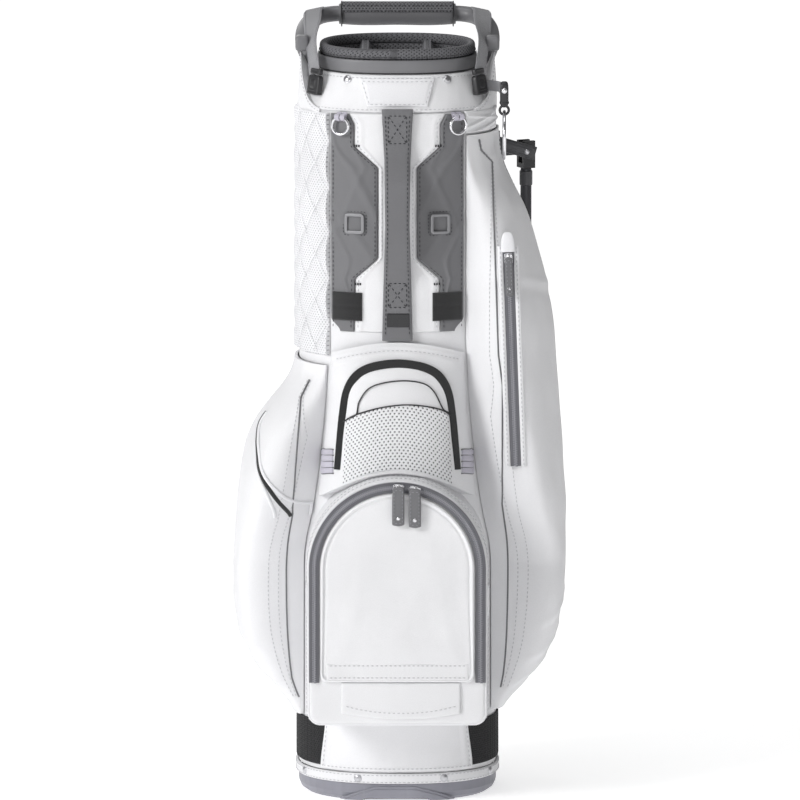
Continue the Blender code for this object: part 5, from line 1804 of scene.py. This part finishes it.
REACH_LEFT = (
    (0.093, 0.118), (0.1, 0.124), (0.124, 0.145), (0.146, 0.164), (0.176, 0.18), (0.205, 0.189),
    (0.241, 0.192), (0.281, 0.19), (0.349, 0.186), (0.397, 0.18), (0.427, 0.17), (0.447, 0.158),
    (0.47, 0.136), (0.488, 0.121), (0.508, 0.119),
)
REACH_RIGHT = (
    (0.099, 0.118), (0.11, 0.137), (0.134, 0.155), (0.147, 0.165), (0.175, 0.182), (0.207, 0.19),
    (0.242, 0.196), (0.358, 0.197), (0.489, 0.188), (0.562, 0.182), (0.61, 0.173), (0.666, 0.156),
    (0.702, 0.142), (0.73, 0.123), (0.741, 0.118), (0.775, 0.117),
)


@dataclass
class GarmentPocket:
    """A tall pocket bulging from one side of the tube, piped and sewn down its front."""

    name: str
    side: int
    reach: Rows
    end: float
    piping: Rows
    folds: tuple[tuple[float, float, float], ...]
    start: Rows = (
        (0.09, 0.1075), (0.29, 0.107), (0.34, 0.096), (0.39, 0.089), (0.46, 0.082), (0.545, 0.0775),
        (0.8, 0.0775),
    )

    def at(self, s: Array, z: Array, out: Any = 0.0) -> Array:
        """A point at a share s from the front seam to the back one, and a height.

        It stands off the tube by 0.0025 + (depth - 0.0025) * (1 - |2s - 1|^5)^0.4.
        """
        depth = np.maximum(softened(self.reach, z, 0.02) - BODY.halves(z)[0] - GAP, 0.0026)
        swell = 0.0025 + (depth - 0.0025) * np.clip(1 - np.abs(2 * s - 1) ** 5, 0.0, 1.0) ** 0.4
        return self.under(s, z, swell + out)

    def build(self) -> None:
        """Makes the shell, the piping and the stitches."""
        low, high = self.reach[0][0], self.reach[-1][0]
        s, v = np.meshgrid(0.5 - 0.5 * np.cos(math.pi * np.linspace(0, 1, 101)), spaced(180, 0.012))
        z = lerp(low, high, v)
        fade = smooth(np.minimum(s, 1 - s), 0.0, 0.1) * smooth(np.minimum(v, 1 - v), 0.0, 0.04)
        wave = 0.0011 * crinkle(s * 9, z * 38, 3.0 + self.side)
        for height, slope, size in self.folds:
            place = z - slope * s
            wave = wave + size * (bell(place, height, 0.006) - 0.6 * bell(place, height - 0.012, 0.008))
        outer = self.at(s, z, wave * fade)
        inner = self.under(s, z, 0.0004)
        rings = np.concatenate([outer, inner[:, ::-1]], axis=1)
        piece(f"{self.name}_skin", loft(rings, closed_ends=True), Finish.WHITE, replaces=[self.name])
        z = np.linspace(self.piping[0][0], self.piping[-1][0], 300)
        front = self.share_at(z, np.interp(z, *zip(*self.piping)))
        rows, cords = [], []
        for share in (front, np.full_like(z, 0.93)):
            cords.append(swept(self.at(share, z, 0.0006), oval(0.001, 0.001, 10), self.normal(share, z)))
            for step in (-0.022, 0.022):
                near = np.clip(share + step, 0.01, 0.99)
                rows.append(stitches(self.at(near, z, 0.0003), self.normal(near, z)))
        piece(f"{self.name}_piping", cords, Finish.GRAY)
        piece(f"{self.name}_stitches", rows, Finish.SHADED_WHITE_THREAD)

    def under(self, s: Array, z: Array, out: Any) -> Array:
        """A point within the pocket's outline, a distance off the tube."""
        turn = lerp(BODY.turn(softened(self.start, z, 0.022), z), math.radians(self.end), s)
        return BODY.at(turn, z, GAP + out) * np.array([self.side, 1.0, 1.0])

    def share_at(self, z: Array, x: Array) -> Array:
        """The share, from the front seam to the belly, at which the pocket is this far from the middle."""
        shares = np.linspace(0.0, 0.5, 80)
        points = self.at(shares[None, :] + 0 * z[:, None], z[:, None] + 0 * shares[None, :])
        reach = np.maximum.accumulate(np.abs(points[..., 0]), axis=1)
        return np.array([np.interp(want, row, shares) for want, row in zip(x, reach)])

    def normal(self, share: Array, z: Array) -> Array:
        """The outward direction down a line of the pocket."""
        across = self.at(share + 0.01, z) - self.at(share - 0.01, z)
        up = self.at(share, z + 0.002) - self.at(share, z - 0.002)
        return unit(np.cross(across, up)) * self.side


@dataclass
class SideDetails:
    """The dark slit and lips of the left pocket, and the zip, hood, slider and pull of the right."""

    left: GarmentPocket
    right: GarmentPocket
    zip_centre: tuple[float, float, float] = (0.1323, 0.5568, 0.51)
    zip_radius: float = 0.68
    zip_lean: float = -0.037

    def build(self) -> None:
        """Makes the pieces."""
        self.slit()
        self.zip()

    def slit(self) -> None:
        """The left pocket's mouth: a dark gusset between two lips from its shoulder to its front."""
        z = np.linspace(0.331, 0.448, 110)
        x = np.interp(z, (0.331, 0.35, 0.377, 0.39, 0.42, 0.448), (0.1204, 0.1367, 0.155, 0.16, 0.1622, 0.158))
        share = self.left.share_at(z, x)
        share = np.convolve(np.pad(share, 6, mode="edge"), np.ones(13) / 13, mode="valid")
        path = self.left.at(share, z, 0.0006)
        out = self.left.normal(share, z)
        piece("left_slit", swept(path, oval(0.0024, 0.0012, 14), out), Finish.BLACK_WEB)
        lips = [swept(self.left.at(share + step, z, 0.0008), oval(0.0022, 0.0014, 12), out) for step in (-0.028,
                                                                                                         0.028)]
        piece("left_slit_lips", lips, Finish.WHITE_SOFT)

    def zip_point(self, degrees: Array, out: float) -> tuple[Array, Array]:
        """Points on the zip's arc and the outward directions there."""
        lean = unit(np.array([self.zip_lean, 0.0, 1.0]))
        angle = np.radians(degrees)[:, None]
        outward = lean * np.sin(angle) - np.array([0.0, 1.0, 0.0]) * np.cos(angle)
        return np.array(self.zip_centre) + outward * (self.zip_radius + out), outward

    def zip(self) -> None:
        """The side zip: tape, coil, welts at both sides, a hood over its top, slider and pull."""
        degrees = np.linspace(-9.7, 11.9, 150)
        path, out = self.zip_point(degrees, 0.001)
        piece("side_zip_tape", swept(path, oval(0.006, 0.0009, 16, 5.0), out), Finish.ZIP_TAPE,
              replaces=["side_zipper"])
        piece("side_zip_coil", coil(path[:-8], out[:-8], 0.0009), Finish.COIL)
        _, side, _ = frames_along(path, out)
        welts = [swept(path + side * step, oval(0.0032, 0.0022, 16, 2.4), out) for step in (-0.0092, 0.0092)]
        piece("side_zip_welts", welts, Finish.WHITE)
        rows = [stitches(path + side * step + out * 0.0022, out) for step in (-0.0092, 0.0092)]
        piece("side_zip_stitches", rows, Finish.SHADED_WHITE_THREAD)
        top, top_out = self.zip_point(np.linspace(11.3, 13.2, 24), 0.005)
        scale = np.stack([0.35 + 0.65 * np.sqrt(np.clip(1 - np.linspace(0, 1, 24) ** 2.4, 0.0, 1)),
                          0.45 + 0.55 * np.sqrt(np.clip(1 - np.linspace(0, 1, 24) ** 2, 0.0, 1))], axis=1)
        piece("zip_hood", swept(top, oval(0.0085, 0.0036, 24, 2.6), top_out, scale=scale), Finish.WHITE_SOFT)
        place, place_out = self.zip_point(np.array([10.7]), 0.0024 + 0.0005 + 0.003)
        up = self.zip_point(np.array([10.8]), 0.0)[0] - self.zip_point(np.array([10.6]), 0.0)[0]
        x_axis = np.cross(unit(up[0]), place_out[0])
        piece("side_zip_slider", slider_shape(0.01, 0.013, 0.006).moved(placed(place[0], x_axis, place_out[0])),
              Finish.STEEL, "side_slider_body", replaces=["side_slider"])
        hinge, hinge_out = self.zip_point(np.array([10.7]), 0.0024 + 2 * 0.0005 + 0.006 + 0.0015)
        pull_pieces("side_zip_pull", placed(hinge[0], x_axis, hinge_out[0]), 0.0092, "side_pull_body", "side_pull")


@dataclass
class TowelHook:
    """The dark hook tab at the right of the yoke, its strap, eye and snap loop, and the towel ring."""

    place: tuple[float, float, float] = (0.123, -0.056, 0.819)
    ring_radius: float = 0.027

    def build(self) -> None:
        """Makes the pieces."""
        x, y, z = self.place
        tab = ball_box((0.01, 0.014, 0.03), 4.2, 30, 21)
        collar = ball_box((0.0112, 0.0152, 0.004), 3.4, 28, 11).shifted(0.0, 0.0, -0.0095)
        shape = Shape.joined([tab, collar]).shifted(x, y, z)
        piece("towel_hook", shape, Finish.BLACK_PLASTIC, replaces=["hook_clip"])
        loop = ring_shape(0.0052, 0.0015, 40, 12).moved(placed((x, y, 0.8008), (1, 0, 0), (0, 1, 0)))
        piece("hook_snap", loop, Finish.BLACK_PLASTIC)
        start = BODY.at(np.radians([84.0, 76.0, 68.0]), 0.829, np.array([0.0016, 0.002, 0.004]))
        route = smooth_path([*start.tolist(), (x - 0.0062, y + 0.005, 0.8275), (x - 0.0052, y - 0.005, 0.827)], 50)
        outward = unit(np.cross(np.gradient(route, axis=0), [0.0, 0.0, 1.0]))
        outward = outward * np.sign(outward[:, :1])
        piece("hook_strap", swept(route, oval(0.0062, 0.0009, 20, 5.0), outward), Finish.GRAY_WEB)
        eye = placed((x, y - 0.007, z + 0.005), (1, 0, 0), (0, -1, 0))
        piece("hook_eye", dome(eye, 0.0032, 0.0014), Finish.STEEL)
        ring = placed((x, y, 0.799 - self.ring_radius), (0, 1, 0), (1, 0, 0))
        piece("towel_ring_wire", ring_shape(self.ring_radius, 0.0019, 96, 16).moved(ring), Finish.STEEL,
              "towel_ring_body", replaces=["towel_ring"])


@dataclass
class Stand:
    """The folding legs: smooth tubes, collars and ribbed rubber feet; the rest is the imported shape."""

    pivots: tuple[tuple[float, float], tuple[float, float]] = ((0.1494, 0.055), (0.055, 0.1494))

    def arm(self) -> None:
        """The dark sloping arm in front of the bracket, with a pin and a raised rib."""
        path = smooth_path(((0.108, 0.032, 0.752), (0.118, 0.033, 0.75), (0.139, 0.0335, 0.744),
                            (0.16, 0.033, 0.738)), 40)
        out = FRONT
        bar = swept(path, oval(0.0078, 0.0052, 28, 5.0), out)
        rib = swept(path[4:-4], oval(0.0052, 0.006, 24, 5.0), out)
        piece("stand_arm", [bar, rib], Finish.DARK_PLASTIC, slot="stand_metal")
        pin = placed((0.15, 0.0275, 0.7408), (1, 0, 0), (0, -1, 0))
        piece("stand_arm_pin", dome(pin, 0.003, 0.0014), Finish.DULL_STEEL)

    def build(self) -> None:
        """Makes the arm, and each leg's tube, collars and foot."""
        self.arm()
        for name, (x, y) in zip(("front", "rear"), self.pivots):
            body = f"leg_{name}_body"
            leg = turned([(0.0, 0.1525), (0.0062, 0.1525), (0.0065, 0.1535), (0.0065, 0.7165), (0.006, 0.7183),
                          (0.0, 0.7184)], 36)
            collars = [turned([(0.006, z - h), (0.0076, z - h + 0.001), (0.0076, z + h - 0.001),
                               (0.006, z + h)], 32)
                       for z, h in ((0.707, 0.009), (0.46, 0.005), (0.164, 0.008))]
            piece(f"leg_tube_{name}", leg.shifted(x, y, 0.0), Finish.STAND, body, replaces=[f"leg_{name}"])
            collars = [shape.shifted(x, y, 0.0) for shape in collars]
            piece(f"leg_collars_{name}", collars, Finish.DARK_PLASTIC, body)
            steps = np.linspace(0.13, 0.15, 40)
            ribs = [(0.0, 0.1281), (0.006, 0.1282), (0.0076, 0.129)]
            ribs += [(0.008 + 0.0004 * math.sin((z - 0.13) * 1500), z) for z in steps] + [(0.007, 0.1513),
                                                                                          (0.0, 0.1514)]
            foot = turned(ribs, 32).shifted(x, y, 0.0)
            piece(f"leg_rubber_{name}", foot, Finish.RUBBER, body, replaces=[f"leg_foot_{name}"])


@dataclass
class BackPads:
    """The hip pad and the two shoulder straps, padded by a cloth simulation."""

    pads: tuple[tuple[str, str, float, float, float, float, float, Finish], ...] = (
        ("hip_cushion", "hip_pad", 190.0, 240.0, 0.25, 0.47, 0.015, Finish.MESH),
        ("strap_pad_left", "shoulder_strap_left", 218.0, 240.0, 0.49, 0.795, 0.0115, Finish.STRAP_GRAY),
        ("strap_pad_right", "shoulder_strap_right", 186.0, 208.0, 0.49, 0.795, 0.0115, Finish.STRAP_GRAY),
    )

    def build(self) -> None:
        """Makes the pads, their seams and the strap's adjusters."""
        for row in self.pads:
            self.pad(*row)
        straps = []
        for turn in (229.0, 197.0):
            for low, high in ((0.472, 0.498), (0.786, 0.808)):
                z = np.linspace(low, high, 30)
                path = BODY.at(np.radians(turn) + 0 * z, z, 0.004)
                straps.append(swept(path, oval(0.0125, 0.001, 20, 5.0), BODY.outward(path)))
        piece("back_webbing", straps, Finish.GRAY_WEB)
        boxes = []
        for turn in (229.0, 197.0):
            place = BODY.frame(math.radians(turn), 0.48, 0.0055)
            for offset in (-0.006, 0.0, 0.006):
                bar = ball_box((0.03, 0.003, 0.0036), 4.0, 24, 11).shifted(0.0, offset, 0.0)
                boxes.append(bar.moved(place))
        piece("strap_adjusters", boxes, Finish.BLACK_PLASTIC)

    def pad(self, name: str, node: str, start: float, end: float, low: float, high: float, depth: float,
            finish: Finish) -> None:
        """One pad: a crowned closed form, inflated as cloth, with sewn seams laid over it."""

        def at(u: Array, v: Array, share: float) -> Array:
            """The pad's outside at share 1 and its back at share 0."""
            wide, tall = 1 - np.abs(2 * u - 1) ** 4, 1 - np.abs(2 * v - 1) ** 8
            crown = 0.003 + (depth - 0.003) * np.sqrt(np.clip(wide * tall, 0.0, 1.0))
            groove = 1 - 0.3 * (bell(v, 1 / 3, 0.02) + bell(v, 2 / 3, 0.02))
            return BODY.at(np.radians(lerp(start, end, u)), lerp(low, high, v), 0.004 + share * crown * groove)
        u, v = np.meshgrid(spaced(46, 0.05), spaced(90, 0.02))
        rings = np.concatenate([at(u, v, 1.0), at(u, v, 0.0)[:, ::-1]], axis=1)
        made = piece(name, loft(rings, closed_ends=True), finish, replaces=[node])
        inflate(made)
        runs = []
        for share in (0.08, 0.92):
            vs = np.linspace(0.04, 0.96, 160)
            runs.append(at(share + 0 * vs, vs, 1.0))
        for share in (1 / 3, 2 / 3):
            us = np.linspace(0.1, 0.9, 60)
            runs.append(at(us, share + 0 * us, 1.0))
        rows = [stitches(run + BODY.outward(run) * 0.0012, BODY.outward(run)) for run in runs]
        piece(f"{name}_stitches", rows, Finish.LIGHT_THREAD, slot=SLOTS[finish.name])


def inflate(pad: Any, voxel: float = 0.004, cap: float = 0.005) -> None:
    """Fills a pad by a cloth simulation with inner pressure, then applies its smooth result.

    Args:
        pad: The closed mesh object.
        voxel: The size of the remeshed faces.
        cap: The most that a point may move, in metres.
    """
    source = pad.data.copy()
    work = bpy.data.objects.new(f"{pad.name}_work", source)
    bpy.context.scene.collection.objects.link(work)
    remesh = work.modifiers.new("Remesh", "REMESH")
    remesh.mode = "VOXEL"
    remesh.voxel_size = voxel
    graph = bpy.context.evaluated_depsgraph_get()
    even = bpy.data.meshes.new_from_object(work.evaluated_get(graph))
    work.modifiers.clear()
    work.data = even
    rest = np.empty(len(even.vertices) * 3)
    even.vertices.foreach_get("co", rest)
    cloth = work.modifiers.new("Cloth", "CLOTH")
    cloth.settings.use_pressure = True
    cloth.settings.uniform_pressure_force = 4.0
    cloth.settings.effector_weights.gravity = 0.0
    cloth.settings.tension_stiffness = 25.0
    cloth.settings.bending_stiffness = 2.0
    cloth.point_cache.frame_end = 20
    scene = bpy.context.scene
    for number in range(1, 21):
        scene.frame_set(number)
    graph = bpy.context.evaluated_depsgraph_get()
    filled = bpy.data.meshes.new_from_object(work.evaluated_get(graph))
    moved = np.empty_like(rest)
    filled.vertices.foreach_get("co", moved)
    move = (moved - rest).reshape(-1, 3)
    size = np.linalg.norm(move, axis=1, keepdims=True)
    move *= np.minimum(1.0, cap / np.maximum(size, 1e-9))
    carry_points(pad, rest.reshape(-1, 3), move)
    scene.frame_set(1)
    bpy.data.objects.remove(work, do_unlink=True)


def carry_points(pad: Any, places: Array, moves: Array) -> None:
    """Moves a pad's points by the mean of the three nearest simulated points' moves."""
    tree = KDTree(len(places))
    for number, place in enumerate(places):
        tree.insert(place, number)
    tree.balance()
    points = np.empty(len(pad.data.vertices) * 3)
    pad.data.vertices.foreach_get("co", points)
    points = points.reshape(-1, 3)
    near = np.array([[found[1] for found in tree.find_n(point, 3)] for point in points])
    points = points + moves[near].mean(axis=1)
    pad.data.vertices.foreach_set("co", points.ravel())
    pad.data.update()


@dataclass
class Dresser:
    """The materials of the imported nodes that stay."""

    finishes: tuple[tuple[str, Finish], ...] = (
        ("base_shell", Finish.FOOT), ("stand_bracket", Finish.STAND), ("leg_clevis_front", Finish.BLACK_PLASTIC),
        ("leg_clevis_rear", Finish.BLACK_PLASTIC), ("actuator_rod", Finish.DULL_STEEL),
        ("foot_lever", Finish.BLACK_PLASTIC),
    )

    def build(self) -> None:
        """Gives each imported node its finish."""
        for node, finish in self.finishes:
            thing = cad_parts[node]
            for place in thing.material_slots:
                place.link = "OBJECT"
                place.material = finish.made()
            log.info("%s: dressed", node)


@dataclass
class Studio:
    """A pale floor that glows as painted light, soft lights and the camera."""

    look_at: tuple[float, float, float] = (0.003, 0.0, 0.454)
    distance: float = 12.9
    lens: float = 500.0
    elevation: float = 9.0
    glow: float = 0.64

    def build(self) -> None:
        """Makes the studio."""
        bpy.context.scene.view_settings.view_transform = "Standard"
        self.floor()
        self.world()
        self.area("key_light", (-3.0, -2.4, 2.2), 1.4, 104.0)
        self.area("fill_light", (0.5, -4.4, 1.4), 2.4, 21.0)
        self.area("top_light", (-0.4, -0.3, 3.4), 1.4, 26.0)
        self.area("rim_light", (-1.0, 3.0, 2.2), 2.0, 24.0)
        self.camera()

    def floor(self) -> None:
        """A round pale floor that glows as painted light, flat and wide enough to fill the picture."""
        turn = circle(64)
        reach = np.linspace(0.05, 20.0, 40)[:, None]
        rings = xyz(reach * np.cos(turn), reach * np.sin(turn), 0.0 * reach * turn - 0.0003)
        shape = loft(rings)
        mesh = bpy.data.meshes.new("floor")
        mesh.from_pydata([*shape.points.tolist(), (0.0, 0.0, -0.0003)], [],
                         [*shape.faces[0].tolist(), *[(i, (i + 1) % 64, len(shape.points)) for i in range(64)]])
        mesh.shade_smooth()
        recipe = Recipe("floor_finish")
        soft = recipe.noise(0.6, 2.0)
        away = recipe.node("ShaderNodeVectorMath", {"operation": "LENGTH"}, {0: recipe.place()}, 1)
        # Painted light: the floor glows, whitening the backdrop and lighting the bag from below, its glow weaker
        # near the bag than far out.
        glow = recipe.blend(away.step(0.4, 5.0), shade((1.0, 1.0, 1.0), self.glow), (1.0, 1.0, 1.0, 1.0))
        recipe.finish(Base_Color=recipe.blend(soft, (0.88, 0.88, 0.885, 1.0), (0.92, 0.92, 0.925, 1.0)),
                      Roughness=0.9, Emission_Color=glow, Emission_Strength=0.92)
        mesh.materials.append(recipe.material)
        thing = bpy.data.objects.new("floor", mesh)
        bpy.context.scene.collection.objects.link(thing)

    def world(self) -> None:
        """An even white surround."""
        made = bpy.data.worlds.new("surround")
        made.use_nodes = True
        sky = made.node_tree.nodes["Background"]
        sky.inputs["Color"].default_value = (1.0, 1.0, 1.0, 1.0)
        sky.inputs["Strength"].default_value = 0.15
        bpy.context.scene.world = made

    def area(self, name: str, place: Sequence[float], size: float, power: float) -> None:
        """A square light aimed at the bag's middle."""
        light = bpy.data.lights.new(name, "AREA")
        light.size = size
        light.energy = power
        thing = bpy.data.objects.new(name, light)
        thing.location = place
        aim = Vector(self.look_at) - Vector(place)
        thing.rotation_euler = aim.to_track_quat("-Z", "Y").to_euler()
        bpy.context.scene.collection.objects.link(thing)

    def camera(self) -> None:
        """A long lens from the front, a little above level."""
        data = bpy.data.cameras.new("camera")
        data.lens = self.lens
        data.sensor_width = 36.0
        data.clip_end = 100.0
        tilt = math.radians(self.elevation)
        centre = Vector(self.look_at)
        thing = bpy.data.objects.new("camera", data)
        thing.location = centre + Vector((0.0, -math.cos(tilt), math.sin(tilt))) * self.distance
        thing.rotation_euler = (centre - thing.location).to_track_quat("-Z", "Y").to_euler()
        bpy.context.scene.collection.objects.link(thing)
        bpy.context.scene.camera = thing


def main() -> None:
    """Builds the bag, then the studio."""
    left_piping = ((0.113, 0.112), (0.136, 0.1215), (0.266, 0.1227), (0.339, 0.1204), (0.407, 0.1157),
                   (0.47, 0.111), (0.49, 0.101))
    right_piping = ((0.125, 0.118), (0.14, 0.1204), (0.49, 0.1204), (0.525, 0.1157), (0.688, 0.11),
                    (0.741, 0.1087), (0.756, 0.096), (0.769, 0.0936))
    left = GarmentPocket("left_pocket", -1, REACH_LEFT, 108.0, left_piping,
                         ((0.13, 0.05, 0.0022), (0.17, 0.04, 0.0016)))
    right = GarmentPocket("right_pocket", 1, REACH_RIGHT, 95.0, right_piping,
                          ((0.13, 0.06, 0.0024), (0.16, 0.05, 0.002), (0.2, 0.05, 0.0014), (0.62, -0.03, 0.0012)))
    assemblies = (FootAndTube(), Cuff(), LiftHandle(), Yoke(), FrontPanels(), SpineHandle(), AccessoryPocket(),
                  BallPocket(), left, right, SideDetails(left, right), TowelHook(), Stand(), BackPads(), Dresser())
    for assembly in assemblies:
        log.info("building %s", type(assembly).__name__)
        assembly.build()
    Studio().build()


if __name__ == "__main__":
    main()
